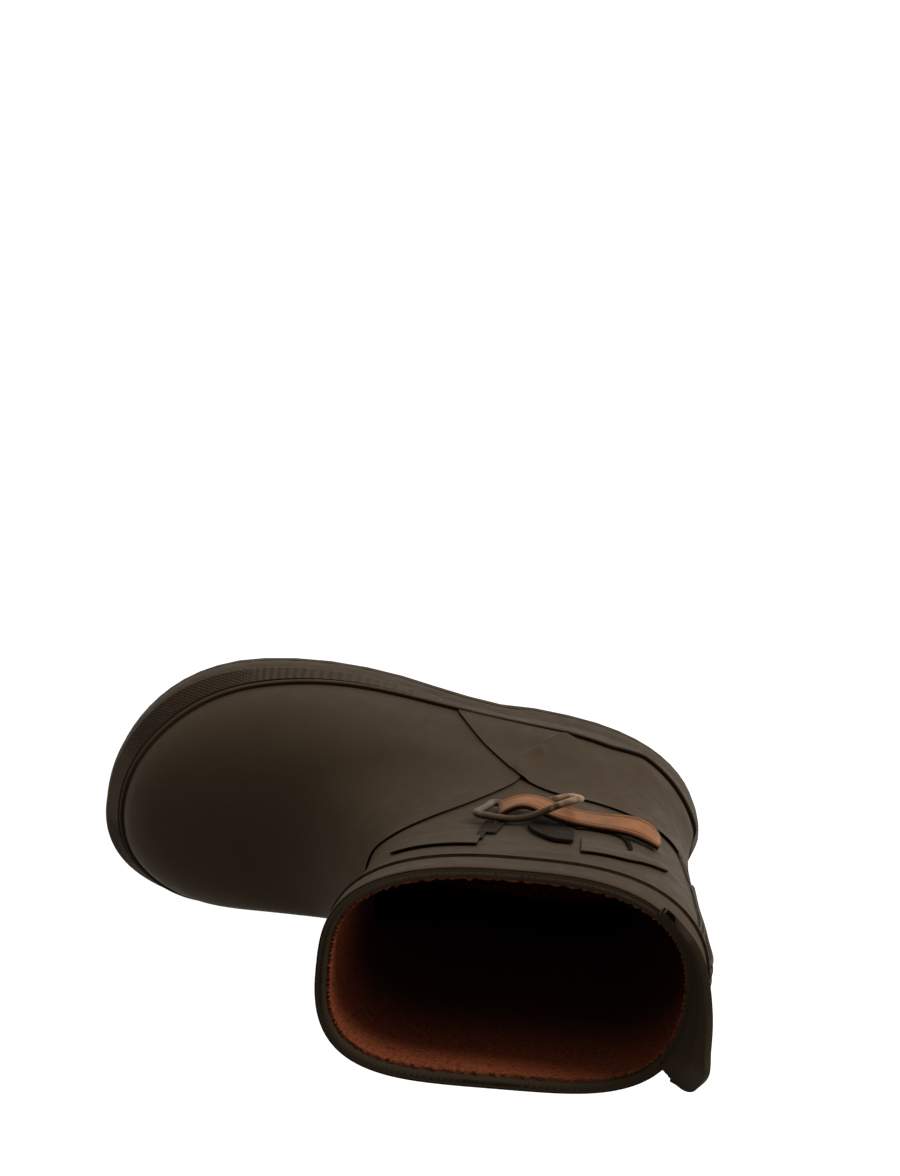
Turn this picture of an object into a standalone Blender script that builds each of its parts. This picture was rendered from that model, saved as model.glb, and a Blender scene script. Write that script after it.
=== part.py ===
"""A child's rubber boot for the right foot: wide toe, short oval shaft, buckled side strap, pull tab at the back.

Metres, +Z up, toe towards +X, outer side towards -Y. The sole stands on Z = 0.
"""

import math
from collections import namedtuple

import bmesh
import bpy
import numpy as np

# Driving sizes of the boot
SOLE_LENGTH = 0.180
BALL_WIDTH = 0.080
INSTEP_HEIGHT = 0.105
SHAFT_HEIGHT = 0.185
COLLAR_LENGTH = 0.0947
COLLAR_WIDTH = 0.0556
COLLAR_BACK = 0.0140
SHAFT_OFFSET = 0.0037

# Walls and clearances
WALL = 0.0020
OVERLAY = 0.0008
GAP = 0.0003

# Sole unit
SOLE_WELT = 0.008
SOLE_FLANGE = 0.0042
SOLE_EDGE = 0.0008
TREAD_DEPTH = 0.0028
TREAD_RIM = 0.003
GROOVE_WIDTH = 0.0042
GROOVE_SWEEP = 0.010
FOXING_EDGE = 0.0019
FOXING_STEP = 0.0007
INSOLE_THICKNESS = 0.003
HEEL_HEIGHT = 0.020
BALL_TOP = 0.010
ARCH_HEIGHT = 0.0065
TOE_SPRING = 0.0075

# Collar
CUFF_HEIGHT = 0.0135
CUFF_DROP = 0.0009
CUFF_THICKNESS = 0.0009
TAB_THICKNESS = 0.0021
TAB_HEIGHT = 0.0105
TAB_LOW = 0.002
TAB_FLARE = 0.006
BACKSTAY_WIDTH = 0.017
BACKSTAY_THICKNESS = 0.0009
BACKSTAY_CLEARANCE = 0.0018

# Strap and buckle
STRAP_WIDTH = 0.0145
STRAP_THICKNESS = 0.0016
STRAP_HUMP = 0.0036
BUCKLE_WIRE = 0.0021
BUCKLE_CLEARANCE = 0.0006
BUCKLE_STAND = 0.0088
BUCKLE_REST = 0.0014
BASE_CLEARANCE = 0.0016
BASE_HEIGHT = 0.0185
WING_THICKNESS = 0.0011

# How finely the forms are faceted
AROUND = 48
SOLE_AROUND = 72

HALF_BALL = BALL_WIDTH / 2
HALF_COLLAR = COLLAR_WIDTH / 2

# Outline of the last from heel to toe: shares of its length, and of half the ball width on the outer and inner side
Plan = namedtuple("Plan", "along outer inner")
FOOT_PLAN = [
    Plan(0.000, 0.000, 0.000),
    Plan(0.027, -0.315, 0.310),
    Plan(0.080, -0.540, 0.525),
    Plan(0.170, -0.705, 0.630),
    Plan(0.300, -0.780, 0.640),
    Plan(0.450, -0.840, 0.625),
    Plan(0.620, -0.900, 0.650),
    Plan(0.750, -0.855, 0.745),
    Plan(0.860, -0.705, 0.785),
    Plan(0.940, -0.445, 0.645),
    Plan(0.985, -0.160, 0.430),
    Plan(1.000, 0.140, 0.140),
]

# Levels of the foot, from the sole to the instep. Back and front are shares of the sole's length, heights are shares
# of the instep height, spread is a share of the plan's width, girth of the collar's and shift of the shaft's offset
# to the inner side, and oval goes from foot to shaft.
Level = namedtuple("Level", "back back_height front front_height spread girth shift oval")
FOOT_LEVELS = [
    Level(0.0289, 0.190, 0.956, 0.162, 0.985, 0.950, 0.14, 0.00),
    Level(0.0317, 0.295, 0.961, 0.267, 1.000, 0.950, 0.14, 0.00),
    Level(0.0350, 0.400, 0.949, 0.357, 0.985, 0.950, 0.14, 0.00),
    Level(0.0383, 0.505, 0.911, 0.433, 0.940, 0.950, 0.14, 0.02),
    Level(0.0417, 0.610, 0.853, 0.486, 0.880, 0.932, 0.16, 0.10),
    Level(0.0450, 0.714, 0.778, 0.533, 0.820, 0.915, 0.19, 0.25),
    Level(0.0472, 0.810, 0.700, 0.586, 0.760, 0.891, 0.24, 0.45),
    Level(0.0483, 0.895, 0.636, 0.667, 0.720, 0.872, 0.30, 0.65),
    Level(0.0489, 0.981, 0.592, 0.771, 0.700, 0.865, 0.35, 0.82),
    Level(0.0494, 1.067, 0.567, 0.886, 0.700, 0.866, 0.41, 0.93),
]

# Levels of the shaft, from the instep to the collar. Rises are shares of the way up to the collar, lengths are shares
# of the collar's length from its back edge, girth is a share of its width, and shift of the shaft's offset.
Ring = namedtuple("Ring", "back back_rise front front_rise girth shift")
SHAFT_LEVELS = [
    Ring(-0.055, 0.200, 0.900, 0.000, 0.878, 0.49),
    Ring(-0.058, 0.375, 0.910, 0.212, 0.906, 0.62),
    Ring(-0.058, 0.575, 0.936, 0.462, 0.957, 0.78),
    Ring(-0.052, 0.787, 0.971, 0.737, 0.993, 0.92),
    Ring(0.000, 1.000, 1.000, 1.000, 1.000, 1.00),
]

# How square the collar is at its front, side and back, on the outer and inner side: 2 is an ellipse. The whole shaft
# is turned a little on the foot, so that its front lies further in than its back.
Square = namedtuple("Square", "front side back")
OUTER_SQUARE = Square(2.80, 2.65, 2.30)
INNER_SQUARE = Square(2.90, 3.70, 2.55)
SHAFT_TURN = 0.02

# The levels at which the sole's band ends, and up to which the sole's own side profile bends the others
FEATHER = 1.4
SAG_LEVELS = 6

# Side profile of the sole by the share of its length: its top from the ball's height to the heel's, and its underside
# as a share of the arch's height, and in front of the ball of the toe spring's
Profile = namedtuple("Profile", "along top under")
SOLE_PROFILE = [
    Profile(0.00, 1.00, 0.00),
    Profile(0.20, 0.98, 0.00),
    Profile(0.30, 0.90, 0.00),
    Profile(0.345, 0.82, 0.78),
    Profile(0.42, 0.62, 0.62),
    Profile(0.52, 0.30, 0.00),
    Profile(0.62, 0.06, 0.00),
    Profile(0.72, 0.00, 0.00),
    Profile(0.80, 0.06, 0.00),
    Profile(0.90, 0.32, 0.42),
    Profile(1.00, 0.70, 1.00),
]

# How far the sole stands out from the upper, as a share of the welt, by the way from toe to heel round each side
Welt = namedtuple("Welt", "around outer inner")
WELT = [
    Welt(0.00, 0.95, 0.95),
    Welt(0.15, 1.00, 0.97),
    Welt(0.33, 0.97, 0.56),
    Welt(0.46, 0.55, 0.46),
    Welt(0.57, 0.18, 0.28),
    Welt(0.70, 0.11, 0.16),
    Welt(0.80, 0.34, 0.22),
    Welt(0.91, 0.58, 0.42),
    Welt(1.00, 0.62, 0.62),
]

# Tread grooves under the heel and the ball: where the first lies along the sole, how many, and their pitch in widths
Grooves = namedtuple("Grooves", "start count")
HEEL_GROOVES = Grooves(0.085, 4)
BALL_GROOVES = Grooves(0.565, 7)
GROOVE_PITCH = 2.35

# Height of the shoulder of the sole's band, from its foot to its edge, and how far its lean still follows the shoulder
SHOULDER = 0.48
LEAN = 0.06

# Edges of the overlays on the last: share of the way round from toe to heel, and the level as a share of them all
Edge = namedtuple("Edge", "around level")
VAMP_EDGE = [
    Edge(0.000, 0.712),
    Edge(0.157, 0.724),
    Edge(0.244, 0.751),
    Edge(0.316, 0.748),
    Edge(0.363, 0.725),
    Edge(0.414, 0.672),
    Edge(0.470, 0.581),
    Edge(0.524, 0.489),
    Edge(0.567, 0.405),
    Edge(0.612, 0.300),
    Edge(0.640, 0.210),
    Edge(0.660, 0.115),
]
COUNTER_EDGE = [
    Edge(0.577, 0.115),
    Edge(0.580, 0.200),
    Edge(0.575, 0.297),
    Edge(0.563, 0.377),
    Edge(0.554, 0.433),
    Edge(0.557, 0.480),
    Edge(0.576, 0.500),
    Edge(0.620, 0.488),
    Edge(0.690, 0.486),
    Edge(0.820, 0.500),
    Edge(1.000, 0.505),
]

# Places round the last, as shares from toe to heel on the outer side, which count as negative
STRAP_FRONT = -0.460
STRAP_BACK = -0.675
STRAP_SLANT = 0.020
BUCKLE_FRONT = -0.437
BUCKLE_BACK = -0.546
BUCKLE_SLANT = 0.012
BUCKLE_TILT = 0.45
TAB_FROM = 0.735
TAB_TO = 1.300
TAB_END = 0.16

# Lean of the pull tab's top out from the rim, as a share of its flare, from its inner end to its outer end
Part = namedtuple("Part", "share part")
TAB_LEAN = [
    Part(0.00, 1.05),
    Part(0.12, 0.96),
    Part(0.26, 0.66),
    Part(0.43, 0.40),
    Part(0.58, 0.24),
    Part(0.72, 0.21),
    Part(0.85, 0.23),
    Part(1.00, 0.27),
]

# The strap's middle height, as a share of the shaft's, and how far its inner face stands off the shaft, as a share of
# its hump, from the buckle's front bar to the strap's back end
STRAP_RISE = 0.622
STRAP_PATH = [
    Part(0.00, 0.33),
    Part(0.10, 0.81),
    Part(0.20, 1.00),
    Part(0.32, 0.81),
    Part(0.45, 0.48),
    Part(0.60, 0.29),
    Part(0.80, 0.19),
    Part(1.00, 0.17),
]

# The buckle's standoff, as a share of its stand at the back bar, towards its front bar. Its low side is tilted by a
# share of the way towards the shaft, on which it would rest.
BUCKLE_BOW = [
    Part(0.0, 1.00),
    Part(0.2, 0.72),
    Part(0.4, 0.38),
    Part(0.6, 0.20),
    Part(0.8, 0.22),
    Part(1.0, 0.33),
]

# Wings on the shaft beside the buckle: the places of their ends and, as shares of the shaft's height, their edges.
# They are thin along the low edge and as thick as named along the high one.
Wing = namedtuple("Wing", "front back low high high_back")
WINGS = {
    "wing_front": Wing(-0.310, -0.440, 0.730, 0.812, 0.842),
    "wing_back": Wing(-0.552, -0.690, 0.735, 0.862, 0.780),
}
WING_THIN = 0.27
BASE_FRONT = -0.490
BASE_BACK = -0.543
BASE_THIN = 0.9
BASE_THICK = 1.6


def spline(knots, values):
    """A natural cubic curve through the values at the knots, as a function of arrays."""
    knots = np.asarray(knots, float)
    values = np.asarray(values, float)
    steps = np.diff(knots)
    count = len(knots)
    system = np.eye(count)
    right = np.zeros(count)
    for i in range(1, count - 1):
        system[i, i - 1 : i + 2] = steps[i - 1], 2 * (steps[i - 1] + steps[i]), steps[i]
        right[i] = 6 * ((values[i + 1] - values[i]) / steps[i] - (values[i] - values[i - 1]) / steps[i - 1])
    bend = np.linalg.solve(system, right)

    def curve(at):
        at = np.clip(np.asarray(at, float), knots[0], knots[-1])
        i = np.clip(np.searchsorted(knots, at) - 1, 0, count - 2)
        h = steps[i]
        before = (knots[i + 1] - at) / h
        after = (at - knots[i]) / h
        cubic = ((before**3 - before) * bend[i] + (after**3 - after) * bend[i + 1]) * h * h / 6
        return before * values[i] + after * values[i + 1] + cubic

    return curve


def smooth_step(share):
    share = np.clip(share, 0, 1)
    return share * share * (3 - 2 * share)


def ring_spline(points, samples):
    """Points along the closed cubic curve through the given ones, and the sample at which each given one lies."""
    points = np.asarray(points, float)
    lap = np.vstack([points] * 3)
    reach = np.concatenate([[0], np.cumsum(np.linalg.norm(np.diff(lap, axis=0), axis=1))])
    start, end = reach[len(points)], reach[2 * len(points)]
    along = np.linspace(start, end, samples, endpoint=False)
    curve = np.stack([spline(reach, lap[:, i])(along) for i in (0, 1)], axis=1)
    places = (reach[len(points) : 2 * len(points)] - start) / (end - start) * samples
    return curve, np.rint(places).astype(int)


def by_share(half):
    """A half outline from toe to heel, looked up by the share of its own length."""
    reach = np.concatenate([[0], np.cumsum(np.linalg.norm(np.diff(half, axis=0), axis=1))])
    share = reach / reach[-1]
    return lambda at: (np.interp(at, share, half[:, 0]), np.interp(at, share, half[:, 1]))


def foot_halves():
    """The outer and inner half of the foot's plan, in shares of its length and of half the ball width."""
    stretch = np.array([SOLE_LENGTH, HALF_BALL])
    inner = [(row.along, row.inner) for row in reversed(FOOT_PLAN)]
    outer = [(row.along, row.outer) for row in FOOT_PLAN[1:-1]]
    curve, places = ring_spline(np.array(inner + outer) * stretch, 1600)
    heel = places[len(inner) - 1]
    toe_to_heel = curve[: heel + 1] / stretch
    heel_to_toe = np.vstack([curve[heel:], curve[:1]]) / stretch
    return by_share(heel_to_toe[::-1]), by_share(toe_to_heel)


def oval_halves():
    """The outer and inner half of the collar's oval, in shares of its length and of half its width."""
    halves = []
    for square, sign in ((OUTER_SQUARE, -1), (INNER_SQUARE, 1)):
        angle = np.linspace(0, math.pi, 800)
        cosine, sine = np.cos(angle), np.sin(angle)
        end = np.where(cosine > 0, square.front, square.back)
        squareness = square.side + (end - square.side) * cosine**2
        radius = (np.abs(cosine) ** squareness + np.abs(sine) ** squareness) ** (-1 / squareness)
        halves.append(by_share(np.stack([0.5 + radius * cosine / 2, sign * radius * sine], axis=1)))
    return halves


FOOT_HALVES = foot_halves()
OVAL_HALVES = oval_halves()
TOP_SHARES = spline([row.along for row in SOLE_PROFILE], [row.top for row in SOLE_PROFILE])


def sole_top(x):
    """Height of the sole's top, where the foot stands, at a distance from the heel."""
    return BALL_TOP + (HEEL_HEIGHT - BALL_TOP) * TOP_SHARES(x / SOLE_LENGTH)


def sole_under(x):
    """Height of the sole's underside: heel on the floor, arch, ball on the floor, toe spring."""
    along = x / SOLE_LENGTH
    shares = np.interp(along, [row.along for row in SOLE_PROFILE], [row.under for row in SOLE_PROFILE])
    return shares * np.where(along < 0.6, ARCH_HEIGHT, TOE_SPRING)


def level_rows():
    """Every level: back x and z, front x and z, spread, girth, shift and share of oval."""
    rows = []
    for row in FOOT_LEVELS:
        rows.append((row.back * SOLE_LENGTH, row.back_height * INSTEP_HEIGHT, row.front * SOLE_LENGTH,
                     row.front_height * INSTEP_HEIGHT, row.spread, row.girth, row.shift, row.oval))
    shaft = SHAFT_HEIGHT - INSTEP_HEIGHT
    for row in SHAFT_LEVELS:
        rows.append((COLLAR_BACK + row.back * COLLAR_LENGTH, INSTEP_HEIGHT + row.back_rise * shaft,
                     COLLAR_BACK + row.front * COLLAR_LENGTH, INSTEP_HEIGHT + row.front_rise * shaft,
                     FOOT_LEVELS[-1].spread, row.girth, row.shift, 1.0))
    return np.array(rows)


LEVEL_ROWS = level_rows()
LEVEL_COUNT = len(LEVEL_ROWS)
LEVEL_CURVES = [spline(np.linspace(0, 1, LEVEL_COUNT), LEVEL_ROWS[:, i]) for i in range(8)]
FEATHER_LEVEL = FEATHER / (LEVEL_COUNT - 1)
SAG_LEVEL = SAG_LEVELS / (LEVEL_COUNT - 1)


def skin(around, level):
    """The upper's outer surface. Around runs from -1 at the heel over the outer side to 0 at the toe, and over the
    inner side to 1 at the heel. Level runs from 0 at the sole to 1 at the collar."""
    around, level = np.broadcast_arrays(np.asarray(around, float), np.asarray(level, float))
    back_x, back_z, front_x, front_z, spread, girth, shift, oval = (curve(level) for curve in LEVEL_CURVES)
    far = np.abs(around)
    outer = around < 0
    foot_x, foot_y = (np.where(outer, a, b) for a, b in zip(FOOT_HALVES[0](far), FOOT_HALVES[1](far)))
    oval_x, oval_y = (np.where(outer, a, b) for a, b in zip(OVAL_HALVES[0](far), OVAL_HALVES[1](far)))
    oval = np.clip(oval, 0, 1)
    along = foot_x * (1 - oval) + oval_x * oval
    shaft_y = shift * SHAFT_OFFSET + SHAFT_TURN * COLLAR_LENGTH * (oval_x - 0.5) + oval_y * girth * HALF_COLLAR
    x = back_x + (front_x - back_x) * along
    y = foot_y * spread * HALF_BALL * (1 - oval) + shaft_y * oval
    base = LEVEL_ROWS[0]
    base_line = base[1] + (base[3] - base[1]) * (x - base[0]) / (base[2] - base[0])
    sag = (sole_top(x) + GAP - base_line) * (1 - smooth_step((level - FEATHER_LEVEL) / (SAG_LEVEL - FEATHER_LEVEL)))
    z = back_z + (front_z - back_z) * along + sag
    return np.stack([x, y, z], axis=-1)


def wrap(around):
    """Brings a place round the last back to between -1 and 1."""
    return (np.asarray(around, float) + 1) % 2 - 1


def across(around, level, step=0.002):
    """Directions along the surface, round it and up it, and its outward normal."""
    level = np.asarray(level, float)
    high = np.clip(level + step, 0, 1)
    low = np.clip(level - step, 0, 1)
    forward = skin(wrap(around + step), level) - skin(wrap(around - step), level)
    upward = skin(around, high) - skin(around, low)
    out = np.cross(forward, upward)
    return tuple(v / np.linalg.norm(v, axis=-1, keepdims=True) for v in (forward, upward, out))


def shell(around, level, standoff):
    """The surface at a distance outside the upper's own, which is negative inside it."""
    around, level, standoff = np.broadcast_arrays(
        np.asarray(around, float), np.asarray(level, float), np.asarray(standoff, float))
    return skin(around, level) + standoff[..., None] * across(around, level)[2]


def level_at(around, height):
    """The level at which the surface has a height, at a place round it."""
    low, high = 0.0, 1.0
    for _ in range(40):
        middle = (low + high) / 2
        if float(skin(around, middle)[2]) < height:
            low = middle
        else:
            high = middle
    return (low + high) / 2


def material(name, hex_colour, roughness, metallic=0.0):
    made = bpy.data.materials.new(name)
    made.use_nodes = True
    channels = [int(hex_colour[i : i + 2], 16) / 255 for i in (0, 2, 4)]
    linear = [c / 12.92 if c <= 0.04045 else ((c + 0.055) / 1.055) ** 2.4 for c in channels]
    surface = made.node_tree.nodes["Principled BSDF"]
    surface.inputs["Base Color"].default_value = (*linear, 1)
    surface.inputs["Roughness"].default_value = roughness
    surface.inputs["Metallic"].default_value = metallic
    return made


def place(name, vertices, faces, finish):
    """A closed mesh object from its vertices and faces, with its faces pointing out."""
    mesh = bpy.data.meshes.new(name)
    made = bmesh.new()
    corners = [made.verts.new(tuple(v)) for v in vertices]
    for face in faces:
        made.faces.new([corners[i] for i in face])
    bmesh.ops.remove_doubles(made, verts=made.verts, dist=1e-6)
    bmesh.ops.recalc_face_normals(made, faces=made.faces)
    made.to_mesh(mesh)
    made.free()
    mesh.materials.append(finish)
    mesh.shade_smooth()
    mesh.set_sharp_from_angle(angle=math.radians(35))
    thing = bpy.data.objects.new(name, mesh)
    bpy.context.scene.collection.objects.link(thing)
    return thing


def grid_faces(rows, columns, close_rows=False, close_columns=False):
    """Four-sided faces of a grid whose vertices run row by row."""
    faces = []
    for r in range(rows if close_rows else rows - 1):
        for c in range(columns if close_columns else columns - 1):
            here, beside = r * columns + c, r * columns + (c + 1) % columns
            below, corner = ((r + 1) % rows) * columns + c, ((r + 1) % rows) * columns + (c + 1) % columns
            faces.append((here, beside, corner, below))
    return faces


def tube(name, rings, finish):
    """A solid ring from closed outlines, the last of which joins the first."""
    rings = np.array(rings)
    vertices = rings.reshape(-1, 3)
    return place(name, vertices, grid_faces(len(rings), rings.shape[1], True, True), finish)


def plate(name, front, back, finish):
    """A solid between two grids of points, with its four edges closed."""
    rows, columns = front.shape[:2]
    total = rows * columns
    vertices = np.concatenate([front.reshape(-1, 3), back.reshape(-1, 3)])
    faces = grid_faces(rows, columns)
    faces += [tuple(total + i for i in reversed(face)) for face in grid_faces(rows, columns)]
    rim = [c for c in range(columns)]
    rim += [r * columns + columns - 1 for r in range(1, rows)]
    rim += [(rows - 1) * columns + c for c in range(columns - 2, -1, -1)]
    rim += [r * columns for r in range(rows - 2, 0, -1)]
    for here, after in zip(rim, rim[1:] + rim[:1]):
        faces.append((here, here + total, after + total, after))
    return place(name, vertices, faces, finish)


def capped(name, rings, finish):
    """A solid from stacked closed outlines, closed at both ends by strips from its outer to its inner side."""
    rings = np.array(rings)
    count = rings.shape[1]
    faces = grid_faces(len(rings), count, close_columns=True)
    for start in (0, (len(rings) - 1) * count):
        for i in range(count // 2):
            here, after = start + i, start + i + 1
            facing, facing_after = start + (count - i) % count, start + (count - i - 1) % count
            corners = list(dict.fromkeys((here, after, facing_after, facing)))
            faces.append(tuple(corners))
    return place(name, rings.reshape(-1, 3), faces, finish)


def turns(count):
    """Places round the last, from the heel round by the outer side, the toe and the inner side."""
    return -1 + 2 * np.arange(count) / count


def upper_levels():
    """Levels at which the upper is faceted: closer where it bends from foot to shaft."""
    return np.concatenate([np.linspace(0, 0.30, 7), np.linspace(0.30, 0.78, 14)[1:], np.linspace(0.78, 1, 5)[1:]])


def make_upper(rubber):
    """One hollow shell of rubber and lining, open at the collar and underneath."""
    around = turns(AROUND)
    levels = upper_levels()
    outside = [shell(around, level, 0) for level in levels]
    inside = [shell(around, level, -WALL) for level in levels[::-1]]
    for ring in inside:
        ring[:, 2] = np.maximum(ring[:, 2], sole_top(ring[:, 0]) + GAP)
    return tube("upper", outside + inside, rubber)


def sole_outline(count):
    """The upper's base outline and the sole's own outline outside it, in plan."""
    around = turns(count)
    base = skin(around, 0)
    out = across(around, 0)[2]
    out[:, 2] = 0
    out /= np.linalg.norm(out, axis=1, keepdims=True)
    shares = [row.around for row in WELT]
    outer = spline(shares, [row.outer for row in WELT])(np.abs(around))
    inner = spline(shares, [row.inner for row in WELT])(np.abs(around))
    stand_out = SOLE_WELT * np.where(around < 0, outer, inner)[:, None]
    return base, base + out * stand_out, out


def at_height(outline, height):
    ring = outline.copy()
    ring[:, 2] = height
    return ring


def groove_end(x, side):
    """Where a groove's leg meets the tread's smooth rim, on the outer or the inner side."""
    _, outline, out = sole_outline(SOLE_AROUND)
    rim = (outline - out * TREAD_RIM)[:, :2]
    rim = rim[rim[:, 1] * side > 0]
    rim = rim[np.argsort(rim[:, 0])]
    leg = np.linspace(0, 1, 400)
    leg_x = x + GROOVE_SWEEP / 3 - leg * GROOVE_SWEEP * 4 / 3
    leg_y = leg * HALF_BALL
    inside = leg_y < np.abs(np.interp(leg_x, rim[:, 0], rim[:, 1]))
    last = int(np.flatnonzero(inside)[-1])
    return leg_x[last], side * leg_y[last]


def groove_cutter(x, floor, depth):
    """A chevron bar across the sole, whose legs sweep back to both sides and end at the tread's rim."""
    half = GROOVE_WIDTH / 2
    made = bmesh.new()
    spine = [groove_end(x, -1), (x + GROOVE_SWEEP / 3, 0.0), groove_end(x, 1)]
    corners = [(px + side * half, py) for side, run in ((1, spine), (-1, spine[::-1])) for px, py in run]
    bottom = [made.verts.new((px, py, floor - depth)) for px, py in corners]
    face = made.faces.new(bottom)
    risen = bmesh.ops.extrude_face_region(made, geom=[face])
    top = [v for v in risen["geom"] if isinstance(v, bmesh.types.BMVert)]
    bmesh.ops.translate(made, verts=top, vec=(0, 0, 2 * depth))
    bmesh.ops.recalc_face_normals(made, faces=made.faces)
    return made


def cut_tread(sole, places):
    """Cuts the chevron grooves that leave the tread's lugs."""
    mesh = bpy.data.meshes.new("tread grooves")
    joined = bmesh.new()
    for x in places:
        cutter = groove_cutter(x, float(sole_under(np.array(x))), TREAD_DEPTH)
        piece = bpy.data.meshes.new("groove")
        cutter.to_mesh(piece)
        cutter.free()
        joined.from_mesh(piece)
        bpy.data.meshes.remove(piece)
    joined.to_mesh(mesh)
    joined.free()
    grooves = bpy.data.objects.new("tread_grooves", mesh)
    bpy.context.scene.collection.objects.link(grooves)
    grooves.hide_render = True
    grooves.display_type = "WIRE"
    cut = sole.modifiers.new("tread", "BOOLEAN")
    cut.operation = "DIFFERENCE"
    cut.object = grooves
    cut.solver = "EXACT"
    return grooves


def make_outsole(rubber):
    """The outsole: a plate under the upper, a flange that carries the foxing, heel, arch, toe spring and tread."""
    base, outline, out = sole_outline(SOLE_AROUND)
    top = sole_top(base[:, 0])
    under = sole_under(outline[:, 0])
    tucked = outline - out * SOLE_EDGE
    rings = [
        at_height(base, top),
        at_height(base, under + SOLE_FLANGE),
        at_height(outline, under + SOLE_FLANGE),
        at_height(outline, under + SOLE_EDGE),
        at_height(tucked, under),
    ]
    sole = capped("outsole", rings, rubber)
    pitch = GROOVE_WIDTH * GROOVE_PITCH
    ball = [SOLE_LENGTH * BALL_GROOVES.start + pitch * i for i in range(BALL_GROOVES.count)]
    heel = [SOLE_LENGTH * HEEL_GROOVES.start + pitch * i for i in range(HEEL_GROOVES.count)]
    return sole, cut_tread(sole, heel + ball)


def make_foxing(rubber):
    """The band round the sole: upright below, leaning in above, with a thin edge on the feather line."""
    around = turns(SOLE_AROUND)
    base, outline, out = sole_outline(SOLE_AROUND)
    floor = sole_under(outline[:, 0]) + SOLE_FLANGE + GAP
    edge_in = shell(around, FEATHER_LEVEL, GAP)
    edge_out = shell(around, FEATHER_LEVEL, FOXING_EDGE)
    shoulder = outline - out * FOXING_STEP
    shoulder = at_height(shoulder, floor + (edge_out[:, 2] - floor) * SHOULDER)
    lean = edge_out * (1 - LEAN) + shoulder * LEAN
    lean[:, 2] = edge_out[:, 2] - FOXING_STEP * 2
    foot = at_height(base + out * GAP, floor)
    rings = [foot, at_height(outline - out * GAP, floor), shoulder, lean, edge_out, edge_in,
             shell(around, FEATHER_LEVEL / 2, GAP), shell(around, 0, GAP)]
    return tube("foxing", rings, rubber)


def make_insole(cloth):
    """The loose footbed inside the upper."""
    around = turns(AROUND)
    edge = shell(around, 0, -WALL - 2 * GAP)
    floor = sole_top(edge[:, 0]) + 2 * GAP
    return capped("insole", [at_height(edge, floor), at_height(edge, floor + INSOLE_THICKNESS)], cloth)


def part_curve(rows):
    """A curve through a table of parts, by its share."""
    return spline([row.share for row in rows], [row.part for row in rows])


def edge_curve(rows, samples):
    """Points along an overlay's edge, evenly spaced by its rows."""
    place_of = np.linspace(0, 1, len(rows))
    at = np.linspace(0, 1, samples)
    around = spline(place_of, [row.around for row in rows])(at)
    level = spline(place_of, [row.level for row in rows])(at)
    return around, level


def panel_grid(edge, foot_from, foot_to, rows, samples):
    """A grid from the feather line up to an edge, over both sides of the boot."""
    around, level = edge_curve(edge, samples)
    foot_level = FEATHER_LEVEL + GAP / SHAFT_HEIGHT * 2
    foot = np.linspace(foot_from, foot_to, samples)
    share = np.linspace(0, 1, rows)[:, None]
    return foot * (1 - share) + around * share, foot_level * (1 - share) + level * share


def vamp_lift(around, level):
    """How far the vamp lifts what lies over it: 1 on the vamp, easing to 0 behind its edge."""
    edge_around, edge_level = edge_curve(VAMP_EDGE, 60)
    edge = np.interp(level, edge_level[::-1], edge_around[::-1])
    return 1 - smooth_step((np.abs(around) - edge - 0.012) / 0.05)


def make_vamp(rubber):
    """The toe and instep piece, laid over the upper from the feather line to the shaft."""
    around, level = panel_grid(VAMP_EDGE, 0, VAMP_EDGE[-1].around, 17, 24)
    around = np.hstack([-around[:, :0:-1], around])
    level = np.hstack([level[:, :0:-1], level])
    return plate("vamp", shell(around, level, GAP + OVERLAY), shell(around, level, GAP), rubber)


def make_counter(rubber):
    """The heel piece, laid over the upper and over the back of the vamp."""
    around, level = panel_grid(COUNTER_EDGE, COUNTER_EDGE[0].around, 1, 11, 25)
    lift = (OVERLAY + GAP) * vamp_lift(around, level) + GAP
    outer_side = np.concatenate([-around, around[:, -2::-1]], axis=1)
    level = np.concatenate([level, level[:, -2::-1]], axis=1)
    lift = np.concatenate([lift, lift[:, -2::-1]], axis=1)
    return plate("heel_counter", shell(wrap(outer_side), level, lift + OVERLAY), shell(wrap(outer_side), level, lift),
                 rubber)


def band(name, low, high, stand, thickness, finish, count=AROUND):
    """A raised band round the shaft between two levels."""
    around = turns(count)
    rings = [shell(around, low, stand), shell(around, low, stand + thickness),
             shell(around, high, stand + thickness), shell(around, high, stand)]
    return tube(name, rings, finish)


def cuff_levels():
    """The levels of the collar band's lower and upper edge."""
    return level_at(0.5, SHAFT_HEIGHT - CUFF_HEIGHT), level_at(0.5, SHAFT_HEIGHT - CUFF_DROP)


def make_cuff(rubber):
    return band("collar_band", *cuff_levels(), GAP, CUFF_THICKNESS, rubber)


def at_height_on(around, height, standoff):
    """Points over the surface at heights, from broadcast arrays."""
    around, height, standoff = np.broadcast_arrays(
        np.asarray(around, float), np.asarray(height, float), np.asarray(standoff, float))
    level = np.array([level_at(a, z) for a, z in zip(around.ravel(), height.ravel())]).reshape(around.shape)
    return shell(around, level, standoff)


def make_backstay(rubber):
    """The raised strip up the back of the shaft, from the heel piece to the collar band."""
    low = float(skin(1.0, COUNTER_EDGE[-1].level)[2]) + BACKSTAY_CLEARANCE
    middle = skin(turns(AROUND), (1 + COUNTER_EDGE[-1].level) / 2)
    girth = np.linalg.norm(np.diff(middle, axis=0, append=middle[:1]), axis=1).sum()
    half = BACKSTAY_WIDTH / girth
    around = np.linspace(-half, half, 7) + 1
    height = np.linspace(low, SHAFT_HEIGHT - CUFF_HEIGHT - 3 * GAP, 14)[:, None]
    around = wrap(around)[None, :]
    outside = at_height_on(around, height, GAP + BACKSTAY_THICKNESS)
    inside = at_height_on(around, height, GAP)
    return plate("backstay", outside, inside, rubber)


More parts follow.
